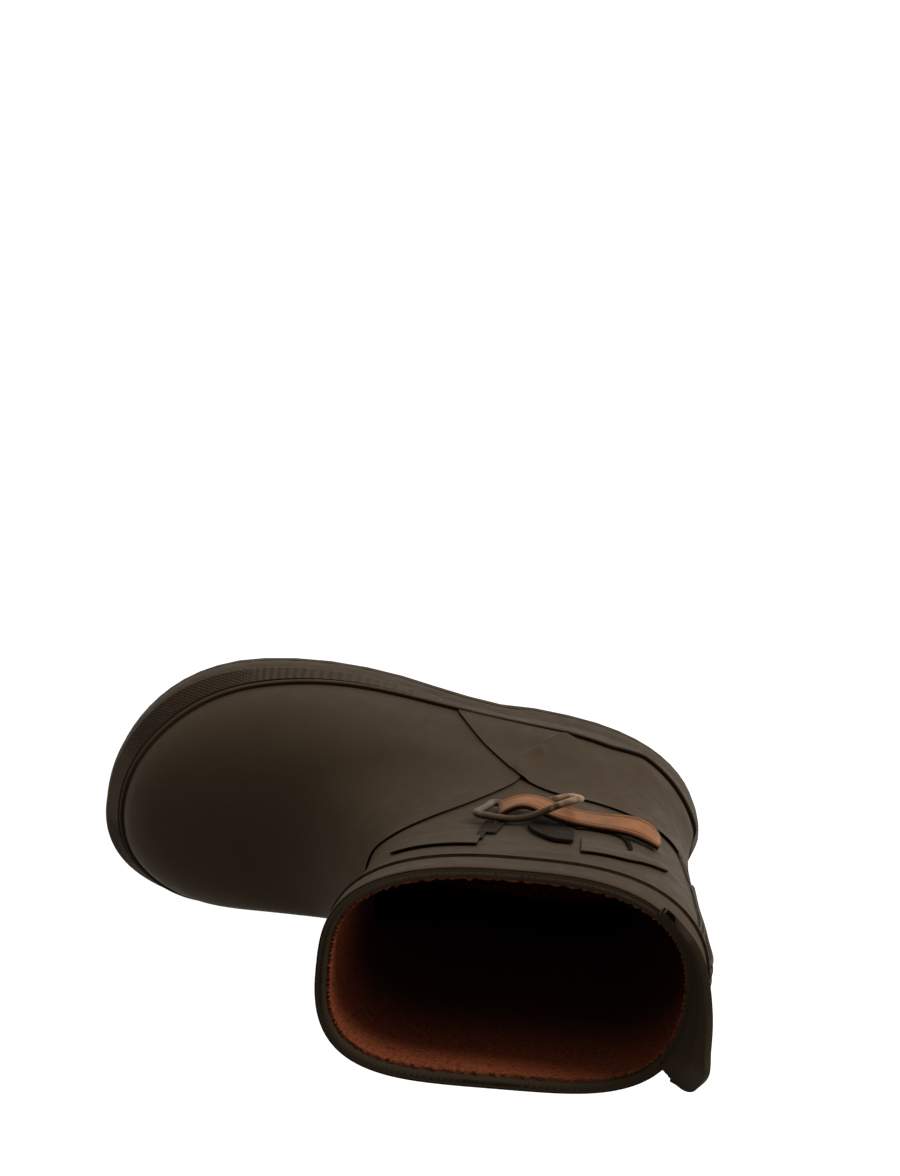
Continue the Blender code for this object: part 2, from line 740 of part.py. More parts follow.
def make_tab(rubber):
    """The pull tab: it stands on the collar band round the back of the shaft and leans away from the rim."""
    share = np.linspace(0, 1, 21)
    around = wrap(TAB_FROM + (TAB_TO - TAB_FROM) * share)
    ends = smooth_step(np.minimum(share, 1 - share) / TAB_END)
    lean = TAB_FLARE * part_curve(TAB_LEAN)(share)
    rise = np.linspace(0, 1, 5)[:, None]
    base = skin(around, 1.0)
    seat = float(shell(turns(AROUND), cuff_levels()[1], GAP + CUFF_THICKNESS)[:, 2].max()) + GAP
    out = across(around, 1.0)[2]
    out[:, 2] = 0
    out /= np.linalg.norm(out, axis=1, keepdims=True)
    up = rise * (TAB_LOW + (TAB_HEIGHT - TAB_LOW) * ends)
    inner = GAP + lean * rise**1.5
    outer = inner + CUFF_THICKNESS + (TAB_THICKNESS - CUFF_THICKNESS) * smooth_step(rise * 2.5)
    faces = []
    for standoff in (outer, inner):
        points = base[None] + out[None] * standoff[..., None]
        points[..., 2] = seat + up
        faces.append(points)
    return plate("back_tab", faces[0], faces[1], rubber)


def raised(name, front, back, heights, thin, thick, finish):
    """A low raised layer on the shaft, from its low edge up to its high edge at the front and at the back."""
    low, high_front, high_back = heights
    share = np.linspace(0, 1, 9)
    high = high_front + (high_back - high_front) * share
    up = np.linspace(0, 1, 4)[:, None]
    height = low + (high - low) * up
    around = np.broadcast_to(front + (back - front) * share, height.shape)
    outside = at_height_on(around, height, GAP + thin + (thick - thin) * up)
    return plate(name, outside, at_height_on(around, height, GAP), finish)


def make_wing(name, rubber):
    """One of the two raised wings beside the buckle."""
    wing = WINGS[name]
    heights = [SHAFT_HEIGHT * share for share in (wing.low, wing.high, wing.high_back)]
    return raised(name, wing.front, wing.back, heights, WING_THIN * WING_THICKNESS, WING_THICKNESS, rubber)


def make_base(rubber):
    """The raised base above the buckle."""
    low = SHAFT_HEIGHT * STRAP_RISE + STRAP_WIDTH / 2 + BUCKLE_CLEARANCE + BUCKLE_WIRE + BASE_CLEARANCE
    heights = (low, low + BASE_HEIGHT, low + BASE_HEIGHT)
    return raised("buckle_base", BASE_FRONT, BASE_BACK, heights, BASE_THIN * WING_THICKNESS,
                  BASE_THICK * WING_THICKNESS, rubber)


def make_strap(leather):
    """The strap along the outer side: humped through the buckle, then close along the shaft."""
    share = np.linspace(0, 1, 31)
    rows = np.linspace(0, 1, 3)[:, None]
    back = STRAP_BACK - STRAP_SLANT * (1 - rows)
    around = STRAP_FRONT + (back - STRAP_FRONT) * share
    height = SHAFT_HEIGHT * STRAP_RISE + STRAP_WIDTH * (rows - 0.5) + 0 * share
    stand = STRAP_HUMP * part_curve(STRAP_PATH)(share)[None, :]
    inner = at_height_on(around, height, stand)
    outer = at_height_on(around, height, stand + STRAP_THICKNESS)
    return plate("strap", outer, inner, leather)


def make_buckle(metal):
    """The bowed ring of wire over the strap: its front bar is near the shaft and its back bar stands off it."""
    corner = BUCKLE_WIRE * 1.2
    half_tall = STRAP_WIDTH / 2 + BUCKLE_CLEARANCE + BUCKLE_WIRE / 2
    middle = SHAFT_HEIGHT * STRAP_RISE
    bars = at_height_on([BUCKLE_BACK, BUCKLE_FRONT], middle, BUCKLE_STAND / 2)
    half_long = float(np.linalg.norm(bars[1] - bars[0])) / 2
    path = []
    for turn, centre in enumerate(((1, 1), (-1, 1), (-1, -1), (1, -1))):
        for step in np.linspace(0, math.pi / 2, 4):
            angle = step + turn * math.pi / 2
            path.append((centre[0] * (half_long - corner) + corner * math.cos(angle),
                         centre[1] * (half_tall - corner) + corner * math.sin(angle)))
        if turn in (0, 2):
            reach = centre[0] * (half_long - corner)
            path += [(reach * (1 - 2 * s), centre[1] * half_tall) for s in np.linspace(0.15, 0.85, 6)]
    path = np.array(path)
    share = (path[:, 0] / half_long + 1) / 2
    stand = BUCKLE_STAND * part_curve(BUCKLE_BOW)(share)
    stand += (BUCKLE_REST - stand) * BUCKLE_TILT * (1 - path[:, 1] / half_tall) / 2
    around = BUCKLE_BACK + (BUCKLE_FRONT - BUCKLE_BACK + BUCKLE_SLANT * path[:, 1] / half_tall) * share
    spine = at_height_on(around, middle + path[:, 1], stand)
    rings = []
    count = len(spine)
    for i in range(count):
        along = spine[(i + 1) % count] - spine[i - 1]
        along /= np.linalg.norm(along)
        side = np.cross(along, (0, -1, 0.01))
        side /= np.linalg.norm(side)
        over = np.cross(side, along)
        turn = np.linspace(0, 2 * math.pi, 8, endpoint=False)[:, None]
        rings.append(spine[i] + (np.cos(turn) * side + np.sin(turn) * over) * BUCKLE_WIRE / 2)
    return tube("buckle", rings, metal)


def centre_in_plan(things, cutters):
    """Moves every piece and cutter so that the origin lies under the middle of the boot's box."""
    corners = np.array([v.co for thing in things for v in thing.data.vertices])
    middle = (corners.min(axis=0) + corners.max(axis=0)) / 2
    for thing in things + cutters:
        for v in thing.data.vertices:
            v.co.x -= middle[0]
            v.co.y -= middle[1]
    bpy.context.scene["origin_shift"] = (-middle[0], -middle[1], 0.0)


def main():
    for thing in list(bpy.data.objects):
        bpy.data.objects.remove(thing)
    rubber = material("olive natural rubber", "4A4033", 0.55)
    sole_rubber = material("olive sole rubber", "443B2F", 0.65)
    cloth = material("terracotta cotton", "8A4A2E", 0.95)
    leather = material("tan leather", "9A5F3A", 0.6)
    metal = material("olive lacquered metal", "5A4D3C", 0.45, 0.7)
    sole, grooves = make_outsole(sole_rubber)
    things = [make_upper(rubber), sole, make_foxing(sole_rubber), make_insole(cloth), make_vamp(rubber),
              make_counter(rubber), make_cuff(rubber), make_backstay(rubber), make_tab(rubber),
              make_strap(leather), make_buckle(metal), make_base(rubber)]
    things += [make_wing(name, rubber) for name in WINGS]
    centre_in_plan(things, [grooves])


main()
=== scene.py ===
"""A child's rubber boot, dressed: olive natural rubber, terracotta cotton lining and a tan buckled strap.

The forms follow the same sizes as the solids that the frame carries. Metres, +Z up, toe towards +X.
"""

import math
from collections import namedtuple

import bmesh
import bpy
import numpy as np
from bpy.props import FloatProperty, FloatVectorProperty, IntProperty, PointerProperty
from mathutils import Matrix, Vector


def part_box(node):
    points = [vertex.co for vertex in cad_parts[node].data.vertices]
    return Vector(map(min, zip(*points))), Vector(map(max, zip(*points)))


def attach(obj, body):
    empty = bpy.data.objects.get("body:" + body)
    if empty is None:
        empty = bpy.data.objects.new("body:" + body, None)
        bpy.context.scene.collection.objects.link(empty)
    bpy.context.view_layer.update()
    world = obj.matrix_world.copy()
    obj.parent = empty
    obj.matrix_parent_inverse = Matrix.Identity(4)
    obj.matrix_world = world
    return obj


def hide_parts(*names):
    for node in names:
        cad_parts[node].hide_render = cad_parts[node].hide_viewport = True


bl_info = {
    "name": "Rubber boot",
    "version": (1, 0, 0),
    "blender": (4, 5, 0),
    "location": "3D View > Sidebar > Boot",
    "description": "Makes a child's rubber boot with a lining, a buckled strap and a studio round it",
    "category": "Object",
}

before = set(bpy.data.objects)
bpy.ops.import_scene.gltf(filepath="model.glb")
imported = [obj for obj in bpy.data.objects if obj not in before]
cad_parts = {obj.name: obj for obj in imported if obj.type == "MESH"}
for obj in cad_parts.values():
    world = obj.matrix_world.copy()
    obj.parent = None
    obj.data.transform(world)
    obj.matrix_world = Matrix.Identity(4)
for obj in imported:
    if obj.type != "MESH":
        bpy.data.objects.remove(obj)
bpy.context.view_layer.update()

# Driving sizes of the boot
SOLE_LENGTH = 0.180
BALL_WIDTH = 0.080
INSTEP_HEIGHT = 0.105
SHAFT_HEIGHT = 0.185
COLLAR_LENGTH = 0.0947
COLLAR_WIDTH = 0.0556
COLLAR_BACK = 0.0140
SHAFT_OFFSET = 0.0037

# Walls and clearances
GAP = 0.0003

# Sole unit
SOLE_WELT = 0.008
SOLE_FLANGE = 0.0042
FOXING_EDGE = 0.0019
HEEL_HEIGHT = 0.020
BALL_TOP = 0.010
ARCH_HEIGHT = 0.0065
TOE_SPRING = 0.0075

# Collar
CUFF_HEIGHT = 0.0135
CUFF_THICKNESS = 0.0009
TAB_THICKNESS = 0.0021
TAB_HEIGHT = 0.0105
TAB_LOW = 0.002
TAB_FLARE = 0.006
BACKSTAY_WIDTH = 0.017
BACKSTAY_THICKNESS = 0.0009
BACKSTAY_CLEARANCE = 0.0018

# Strap and buckle
STRAP_WIDTH = 0.0145
STRAP_THICKNESS = 0.0016
BUCKLE_WIRE = 0.0021
BUCKLE_CLEARANCE = 0.0006
BUCKLE_STAND = 0.0088
BUCKLE_REST = 0.0014
BASE_CLEARANCE = 0.0016
BASE_HEIGHT = 0.0185
WING_THICKNESS = 0.0011

# Corners of the solids' sole, whose box gives their origin
SOLE_AROUND = 72

# Softened edges of cut sheet and of moulded pieces, the depth of a pressed line, and one place's length on the shaft
CUT_EDGE = 0.00015
MOULDED_EDGE = 0.0002
LINE_DEPTH = 0.0005
PLACE_LENGTH = 0.125
SHAFT_GIRTH = 0.256

HALF_BALL = BALL_WIDTH / 2
HALF_COLLAR = COLLAR_WIDTH / 2


def table(kind, *rows):
    """Rows of one kind, so that their fields have names."""
    return [kind(*row) for row in rows]


# Outline of the last from heel to toe: shares of its length, and of half the ball width on the outer and inner side
Plan = namedtuple("Plan", "along outer inner")
FOOT_PLAN = table(Plan,
    (0.000, 0.000, 0.000), (0.027, -0.315, 0.310), (0.080, -0.540, 0.525), (0.170, -0.705, 0.630),
    (0.300, -0.780, 0.640), (0.450, -0.840, 0.625), (0.620, -0.900, 0.650), (0.750, -0.855, 0.745),
    (0.860, -0.705, 0.785), (0.940, -0.445, 0.645), (0.985, -0.160, 0.430), (1.000, 0.140, 0.140))

# Levels of the foot, from the sole to the instep. Back and front are shares of the sole's length, heights are shares
# of the instep height, spread is a share of the plan's width, girth of the collar's and shift of the shaft's offset
# to the inner side, and oval goes from foot to shaft.
Level = namedtuple("Level", "back back_height front front_height spread girth shift oval")
FOOT_LEVELS = table(Level,
    (0.0289, 0.190, 0.956, 0.162, 0.985, 0.950, 0.14, 0.00), (0.0317, 0.295, 0.961, 0.267, 1.000, 0.950, 0.14, 0.00),
    (0.0350, 0.400, 0.949, 0.357, 0.985, 0.950, 0.14, 0.00), (0.0383, 0.505, 0.911, 0.433, 0.940, 0.950, 0.14, 0.02),
    (0.0417, 0.610, 0.853, 0.486, 0.880, 0.932, 0.16, 0.10), (0.0450, 0.714, 0.778, 0.533, 0.820, 0.915, 0.19, 0.25),
    (0.0472, 0.810, 0.700, 0.586, 0.760, 0.891, 0.24, 0.45), (0.0483, 0.895, 0.636, 0.667, 0.720, 0.872, 0.30, 0.65),
    (0.0489, 0.981, 0.592, 0.771, 0.700, 0.865, 0.35, 0.82), (0.0494, 1.067, 0.567, 0.886, 0.700, 0.866, 0.41, 0.93))

# Levels of the shaft, from the instep to the collar. Rises are shares of the way up to the collar, lengths are shares
# of the collar's length from its back edge, girth is a share of its width, and shift of the shaft's offset.
Ring = namedtuple("Ring", "back back_rise front front_rise girth shift")
SHAFT_LEVELS = table(Ring,
    (-0.055, 0.200, 0.900, 0.000, 0.878, 0.49), (-0.058, 0.375, 0.910, 0.212, 0.906, 0.62),
    (-0.058, 0.575, 0.936, 0.462, 0.957, 0.78), (-0.052, 0.787, 0.971, 0.737, 0.993, 0.92),
    (0.000, 1.000, 1.000, 1.000, 1.000, 1.00))

# How square the collar is at its front, side and back, on the outer and inner side: 2 is an ellipse. The whole shaft
# is turned a little on the foot, so that its front lies further in than its back.
Square = namedtuple("Square", "front side back")
OUTER_SQUARE = Square(2.80, 2.65, 2.30)
INNER_SQUARE = Square(2.90, 3.70, 2.55)
SHAFT_TURN = 0.02

# The levels at which the sole's band ends, and up to which the sole's own side profile bends the others
FEATHER = 1.4
SAG_LEVELS = 6

# Side profile of the sole by the share of its length: its top from the ball's height to the heel's, and its underside
# as a share of the arch's height, and in front of the ball of the toe spring's
Profile = namedtuple("Profile", "along top under")
SOLE_PROFILE = table(Profile,
    (0.00, 1.00, 0.00), (0.20, 0.98, 0.00), (0.30, 0.90, 0.00), (0.345, 0.82, 0.78), (0.42, 0.62, 0.62),
    (0.52, 0.30, 0.00), (0.62, 0.06, 0.00), (0.72, 0.00, 0.00), (0.80, 0.06, 0.00), (0.90, 0.32, 0.42),
    (1.00, 0.70, 1.00))

# How far the sole stands out from the upper, as a share of the welt, by the way from toe to heel round each side
Welt = namedtuple("Welt", "around outer inner")
WELT = table(Welt,
    (0.00, 0.95, 0.95), (0.15, 1.00, 0.97), (0.33, 0.97, 0.56), (0.46, 0.55, 0.46), (0.57, 0.18, 0.28),
    (0.70, 0.11, 0.16), (0.80, 0.34, 0.22), (0.91, 0.58, 0.42), (1.00, 0.62, 0.62))

# Edges of the overlays on the last: share of the way round from toe to heel, and the level as a share of them all
Edge = namedtuple("Edge", "around level")
VAMP_EDGE = table(Edge,
    (0.000, 0.712), (0.157, 0.724), (0.244, 0.751), (0.316, 0.748), (0.363, 0.725), (0.414, 0.672), (0.470, 0.581),
    (0.524, 0.489), (0.567, 0.405), (0.612, 0.300), (0.640, 0.210), (0.660, 0.115))
COUNTER_EDGE = table(Edge,
    (0.577, 0.115), (0.580, 0.200), (0.575, 0.297), (0.563, 0.377), (0.554, 0.433), (0.557, 0.480), (0.576, 0.500),
    (0.620, 0.488), (0.690, 0.486), (0.820, 0.500), (1.000, 0.505))

# Places round the last, as shares from toe to heel on the outer side, which count as negative
STRAP_FRONT = -0.460
STRAP_BACK = -0.675
STRAP_SLANT = 0.020
BUCKLE_FRONT = -0.437
BUCKLE_BACK = -0.546
BUCKLE_SLANT = 0.012
BUCKLE_TILT = 0.45
TAB_FROM = 0.735
TAB_TO = 1.300
TAB_END = 0.16

# Lean of the pull tab's top out from the rim, as a share of its flare, from its inner end to its outer end
Part = namedtuple("Part", "share part")
TAB_LEAN = table(Part,
    (0.00, 1.05), (0.12, 0.96), (0.26, 0.66), (0.43, 0.40), (0.58, 0.24), (0.72, 0.21), (0.85, 0.23), (1.00, 0.27))

# The strap's middle height, as a share of the shaft's, and how far it runs on through the buckle
STRAP_RISE = 0.622
STRAP_LEAD = 0.006

# The buckle's standoff, as a share of its stand at the back bar, towards its front bar. Its low side is tilted by a
# share of the way towards the shaft, on which it would rest.
BUCKLE_BOW = table(Part,
    (0.0, 1.00), (0.2, 0.72), (0.4, 0.38), (0.6, 0.20), (0.8, 0.22), (1.0, 0.33))

# Wings on the shaft beside the buckle: the places of their ends and, as shares of the shaft's height, their edges.
# They are thin along the low edge and as thick as named along the high one.
Wing = namedtuple("Wing", "front back low high high_back")
WINGS = {
    "wing_front": Wing(-0.310, -0.440, 0.730, 0.812, 0.842),
    "wing_back": Wing(-0.552, -0.690, 0.735, 0.862, 0.780),
}
WING_THIN = 0.27
BASE_FRONT = -0.490
BASE_BACK = -0.543
BASE_THIN = 0.9


def spline(knots, values):
    """A natural cubic curve through the values at the knots, as a function of arrays."""
    knots = np.asarray(knots, float)
    values = np.asarray(values, float)
    steps = np.diff(knots)
    count = len(knots)
    system = np.eye(count)
    right = np.zeros(count)
    for i in range(1, count - 1):
        system[i, i - 1 : i + 2] = steps[i - 1], 2 * (steps[i - 1] + steps[i]), steps[i]
        right[i] = 6 * ((values[i + 1] - values[i]) / steps[i] - (values[i] - values[i - 1]) / steps[i - 1])
    bend = np.linalg.solve(system, right)

    def curve(at):
        at = np.clip(np.asarray(at, float), knots[0], knots[-1])
        i = np.clip(np.searchsorted(knots, at) - 1, 0, count - 2)
        h = steps[i]
        before = (knots[i + 1] - at) / h
        after = (at - knots[i]) / h
        cubic = ((before**3 - before) * bend[i] + (after**3 - after) * bend[i + 1]) * h * h / 6
        return before * values[i] + after * values[i + 1] + cubic

    return curve


def smooth_step(share):
    share = np.clip(share, 0, 1)
    return share * share * (3 - 2 * share)


def ring_spline(points, samples):
    """Points along the closed cubic curve through the given ones, and the sample at which each given one lies."""
    points = np.asarray(points, float)
    lap = np.vstack([points] * 3)
    reach = np.concatenate([[0], np.cumsum(np.linalg.norm(np.diff(lap, axis=0), axis=1))])
    start, end = reach[len(points)], reach[2 * len(points)]
    along = np.linspace(start, end, samples, endpoint=False)
    curve = np.stack([spline(reach, lap[:, i])(along) for i in (0, 1)], axis=1)
    places = (reach[len(points) : 2 * len(points)] - start) / (end - start) * samples
    return curve, np.rint(places).astype(int)


def by_share(half):
    """A half outline from toe to heel, looked up by the share of its own length."""
    reach = np.concatenate([[0], np.cumsum(np.linalg.norm(np.diff(half, axis=0), axis=1))])
    share = reach / reach[-1]
    return lambda at: (np.interp(at, share, half[:, 0]), np.interp(at, share, half[:, 1]))


def foot_halves():
    """The outer and inner half of the foot's plan, in shares of its length and of half the ball width."""
    stretch = np.array([SOLE_LENGTH, HALF_BALL])
    inner = [(row.along, row.inner) for row in reversed(FOOT_PLAN)]
    outer = [(row.along, row.outer) for row in FOOT_PLAN[1:-1]]
    curve, places = ring_spline(np.array(inner + outer) * stretch, 1600)
    heel = places[len(inner) - 1]
    toe_to_heel = curve[: heel + 1] / stretch
    heel_to_toe = np.vstack([curve[heel:], curve[:1]]) / stretch
    return by_share(heel_to_toe[::-1]), by_share(toe_to_heel)


def oval_halves():
    """The outer and inner half of the collar's oval, in shares of its length and of half its width."""
    halves = []
    for square, sign in ((OUTER_SQUARE, -1), (INNER_SQUARE, 1)):
        angle = np.linspace(0, math.pi, 800)
        cosine, sine = np.cos(angle), np.sin(angle)
        end = np.where(cosine > 0, square.front, square.back)
        squareness = square.side + (end - square.side) * cosine**2
        radius = (np.abs(cosine) ** squareness + np.abs(sine) ** squareness) ** (-1 / squareness)
        halves.append(by_share(np.stack([0.5 + radius * cosine / 2, sign * radius * sine], axis=1)))
    return halves


FOOT_HALVES = foot_halves()
OVAL_HALVES = oval_halves()
TOP_SHARES = spline([row.along for row in SOLE_PROFILE], [row.top for row in SOLE_PROFILE])


def sole_top(x):
    """Height of the sole's top, where the foot stands, at a distance from the heel."""
    return BALL_TOP + (HEEL_HEIGHT - BALL_TOP) * TOP_SHARES(x / SOLE_LENGTH)


def sole_under(x):
    """Height of the sole's underside: heel on the floor, arch, ball on the floor, toe spring."""
    along = x / SOLE_LENGTH
    shares = np.interp(along, [row.along for row in SOLE_PROFILE], [row.under for row in SOLE_PROFILE])
    return shares * np.where(along < 0.6, ARCH_HEIGHT, TOE_SPRING)


def level_rows():
    """Every level: back x and z, front x and z, spread, girth, shift and share of oval."""
    rows = []
    for row in FOOT_LEVELS:
        rows.append((row.back * SOLE_LENGTH, row.back_height * INSTEP_HEIGHT, row.front * SOLE_LENGTH,
                     row.front_height * INSTEP_HEIGHT, row.spread, row.girth, row.shift, row.oval))
    shaft = SHAFT_HEIGHT - INSTEP_HEIGHT
    for row in SHAFT_LEVELS:
        rows.append((COLLAR_BACK + row.back * COLLAR_LENGTH, INSTEP_HEIGHT + row.back_rise * shaft,
                     COLLAR_BACK + row.front * COLLAR_LENGTH, INSTEP_HEIGHT + row.front_rise * shaft,
                     FOOT_LEVELS[-1].spread, row.girth, row.shift, 1.0))
    return np.array(rows)


LEVEL_ROWS = level_rows()
LEVEL_COUNT = len(LEVEL_ROWS)
LEVEL_CURVES = [spline(np.linspace(0, 1, LEVEL_COUNT), LEVEL_ROWS[:, i]) for i in range(8)]
FEATHER_LEVEL = FEATHER / (LEVEL_COUNT - 1)
SAG_LEVEL = SAG_LEVELS / (LEVEL_COUNT - 1)


def skin(around, level):
    """The upper's outer surface. Around runs from -1 at the heel over the outer side to 0 at the toe, and over the
    inner side to 1 at the heel. Level runs from 0 at the sole to 1 at the collar."""
    around, level = np.broadcast_arrays(np.asarray(around, float), np.asarray(level, float))
    back_x, back_z, front_x, front_z, spread, girth, shift, oval = (curve(level) for curve in LEVEL_CURVES)
    far = np.abs(around)
    outer = around < 0
    foot_x, foot_y = (np.where(outer, a, b) for a, b in zip(FOOT_HALVES[0](far), FOOT_HALVES[1](far)))
    oval_x, oval_y = (np.where(outer, a, b) for a, b in zip(OVAL_HALVES[0](far), OVAL_HALVES[1](far)))
    oval = np.clip(oval, 0, 1)
    along = foot_x * (1 - oval) + oval_x * oval
    shaft_y = shift * SHAFT_OFFSET + SHAFT_TURN * COLLAR_LENGTH * (oval_x - 0.5) + oval_y * girth * HALF_COLLAR
    x = back_x + (front_x - back_x) * along
    y = foot_y * spread * HALF_BALL * (1 - oval) + shaft_y * oval
    base = LEVEL_ROWS[0]
    base_line = base[1] + (base[3] - base[1]) * (x - base[0]) / (base[2] - base[0])
    sag = (sole_top(x) + GAP - base_line) * (1 - smooth_step((level - FEATHER_LEVEL) / (SAG_LEVEL - FEATHER_LEVEL)))
    z = back_z + (front_z - back_z) * along + sag
    return np.stack([x, y, z], axis=-1)


def wrap(around):
    """Brings a place round the last back to between -1 and 1."""
    return (np.asarray(around, float) + 1) % 2 - 1


def across(around, level, step=0.002):
    """Directions along the surface, round it and up it, and its outward normal."""
    level = np.asarray(level, float)
    high = np.clip(level + step, 0, 1)
    low = np.clip(level - step, 0, 1)
    forward = skin(wrap(around + step), level) - skin(wrap(around - step), level)
    upward = skin(around, high) - skin(around, low)
    out = np.cross(forward, upward)
    return tuple(v / np.linalg.norm(v, axis=-1, keepdims=True) for v in (forward, upward, out))


def shell(around, level, standoff):
    """The surface at a distance outside the upper's own, which is negative inside it."""
    around, level, standoff = np.broadcast_arrays(
        np.asarray(around, float), np.asarray(level, float), np.asarray(standoff, float))
    return skin(around, level) + standoff[..., None] * across(around, level)[2]


def across_out(around, level):
    """The surface's outward normal, laid flat."""
    out = across(around, level)[2]
    out[..., 2] = 0
    return out / np.linalg.norm(out, axis=-1, keepdims=True)


def sole_outline_at(around):
    """The upper's base outline and the sole's own outline outside it, in plan, at places round the last."""
    base = skin(around, 0)
    out = across_out(around, 0)
    shares = [row.around for row in WELT]
    outer = spline(shares, [row.outer for row in WELT])(np.abs(around))
    inner = spline(shares, [row.inner for row in WELT])(np.abs(around))
    stand_out = SOLE_WELT * np.where(around < 0, outer, inner)[:, None]
    return base, base + out * stand_out, out


# The solids' origin lies under the middle of the boot's box, so the last is moved with them
SOLE_CORNERS = sole_outline_at(-1 + 2 * np.arange(SOLE_AROUND) / SOLE_AROUND)[1]
ORIGIN = np.array([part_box("outsole")[0][i] - SOLE_CORNERS[:, i].min() for i in (0, 1)] + [0.0])

# Soft ridges and troughs pressed into the rubber, from one place and level to another: how wide on each side, in
# metres, and how far they stand out or sink in
Crease = namedtuple("Crease", "around level to_around to_level width depth")
CREASES = [
    # the vamp's back edge, which shows through the heel piece
    Crease(-0.552, 0.430, -0.643, 0.215, 0.0013, 0.0008),
    Crease(-0.624, 0.285, -0.668, 0.090, 0.0013, 0.0008),
    # the heel piece swells over the band on the outer side of the heel
    Crease(-0.700, 0.120, -1.000, 0.110, 0.0140, 0.0024),
    # the shaft rolls over its two wings and under the collar band
    Crease(-0.335, 0.800, -0.430, 0.795, 0.0030, 0.0006),
    Crease(-0.470, 0.905, -0.560, 0.900, 0.0030, 0.0004),
    Crease(-0.600, 0.860, -0.720, 0.800, 0.0040, 0.0005),
    # the ankle gives a little above the heel piece, on both sides
    Crease(-0.590, 0.600, -0.740, 0.560, 0.0090, -0.0006),
    Crease(0.560, 0.640, 0.760, 0.580, 0.0090, -0.0008),
]


def pressed(around, level):
    """How far the creases lift the rubber at each place."""
    here = skin(around, level)
    lift = np.zeros(here.shape[:-1])
    for row in CREASES:
        steps = np.linspace(0, 1, 9)
        line = skin(row.around + (row.to_around - row.around) * steps, row.level + (row.to_level - row.level) * steps)
        far = np.full(lift.shape, np.inf)
        end = np.zeros(lift.shape)
        for i in range(len(line) - 1):
            run = line[i + 1] - line[i]
            share = np.clip(((here - line[i]) @ run) / (run @ run), 0, 1)
            away = np.linalg.norm(here - line[i] - share[..., None] * run, axis=-1)
            nearer = away < far
            far = np.where(nearer, away, far)
            end = np.where(nearer, (i + share) / (len(line) - 1), end)
        # it fades out over a fifth of its length at each end
        fade = smooth_step(np.minimum(end, 1 - end) * 5)
        lift += row.depth * np.exp(-((far / row.width) ** 2)) * fade
    return lift


def rubber_shell(around, level, stand):
    """The surface with its creases, at a distance outside it."""
    return shell(around, level, np.asarray(stand) + pressed(*np.broadcast_arrays(around, level)))


def level_for(around, height):
    """The levels at which the surface has given heights, by bisection over whole arrays."""
    around, height = np.broadcast_arrays(np.asarray(around, float), np.asarray(height, float))
    low, high = np.zeros(around.shape), np.ones(around.shape)
    for _ in range(32):
        middle = (low + high) / 2
        under = skin(around, middle)[..., 2] < height
        low = np.where(under, middle, low)
        high = np.where(under, high, middle)
    return (low + high) / 2


def part_curve(rows):
    """A curve through a table of parts, by its share."""
    return spline([row.share for row in rows], [row.part for row in rows])


def ramp_between(low, high, at):
    """0 below the low value, 1 above the high one, and smooth in between."""
    return smooth_step((at - low) / (high - low))


def ridge(at, middle, width):
    """A soft ridge of height 1 round a middle value."""
    return np.exp(-(((at - middle) / width) ** 2))


def sheet(name, columns, rows, place, closed=False, pattern=(1.0, 1.0), cut=None, marks=None):
    """A grid whose points are put in place by their shares across and up it, with a UV map in metres. Faces whose
    middle is cut, by a test of these shares, take the piece's second finish, and marks are values of each point that
    its finish reads."""
    made = bmesh.new()
    bmesh.ops.create_grid(made, x_segments=columns, y_segments=rows, size=0.5)
    made.verts.ensure_lookup_table()
    share = np.array([v.co[:2] for v in made.verts]) + 0.5
    chart = made.loops.layers.uv.new("pattern")
    for face in made.faces:
        if cut is not None:
            face.material_index = int(cut(*share[[v.index for v in face.verts]].mean(axis=0)))
        for loop in face.loops:
            at = share[loop.vert.index]
            loop[chart].uv = (at[0] * pattern[0], at[1] * pattern[1])
    for mark, value_of in (marks or {}).items():
        layer = made.verts.layers.float.new(mark)
        for v, value in zip(made.verts, value_of(share[:, 0], share[:, 1])):
            v[layer] = float(value)
    points = place(share[:, 0], share[:, 1]) + ORIGIN
    for v, point in zip(made.verts, points):
        v.co = point
    if closed:
        bmesh.ops.remove_doubles(made, verts=made.verts, dist=1e-6)
    return finish_mesh(name, made)


def finish_mesh(name, made):
    mesh = bpy.data.meshes.new(name)
    made.to_mesh(mesh)
    made.free()
    mesh.shade_smooth()
    piece = bpy.data.objects.new(name, mesh)
    bpy.context.scene.collection.objects.link(piece)
    return piece


def bridge_ends(piece):
    """Closes a tube of closed rings by joining its first ring to its last."""
    made = bmesh.new()
    made.from_mesh(piece.data)
    rim = [edge for edge in made.edges if edge.is_boundary]
    if rim:
        bmesh.ops.bridge_loops(made, edges=rim)
    bmesh.ops.recalc_face_normals(made, faces=made.faces)
    made.to_mesh(piece.data)
    made.free()
    piece.data.shade_smooth()


def thicken(piece, thickness, edge=0.0, shaded_cut_edge=False):
    """Gives a sheet its thickness on the inner side, and softens its cut edge."""
    solid = piece.modifiers.new("thickness", "SOLIDIFY")
    solid.thickness = thickness
    solid.offset = -1
    solid.use_even_offset = False
    # when asked, the sheet's rim takes the piece's second finish: painted shade of the step at its edge
    solid.material_offset_rim = int(shaded_cut_edge)
    if edge:
        soft = piece.modifiers.new("edge", "BEVEL")
        soft.width = edge
        soft.segments = 2
        soft.limit_method = "ANGLE"
        soft.angle_limit = math.radians(50)
    return piece


def dress(piece, finishes, slot, *nodes):
    """Gives a piece its finishes, lets it ride with the boot, and hides the solids it stands for."""
    for finish in finishes:
        piece.data.materials.append(finish)
    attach(piece, "root")
    if nodes:
        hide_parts(*nodes)
    return piece


def linear(colour):
    """An sRGB hex colour as linear light."""
    channels = [int(colour[i : i + 2], 16) / 255 for i in (0, 2, 4)]
    return tuple(c / 12.92 if c <= 0.04045 else ((c + 0.055) / 1.055) ** 2.4 for c in channels)


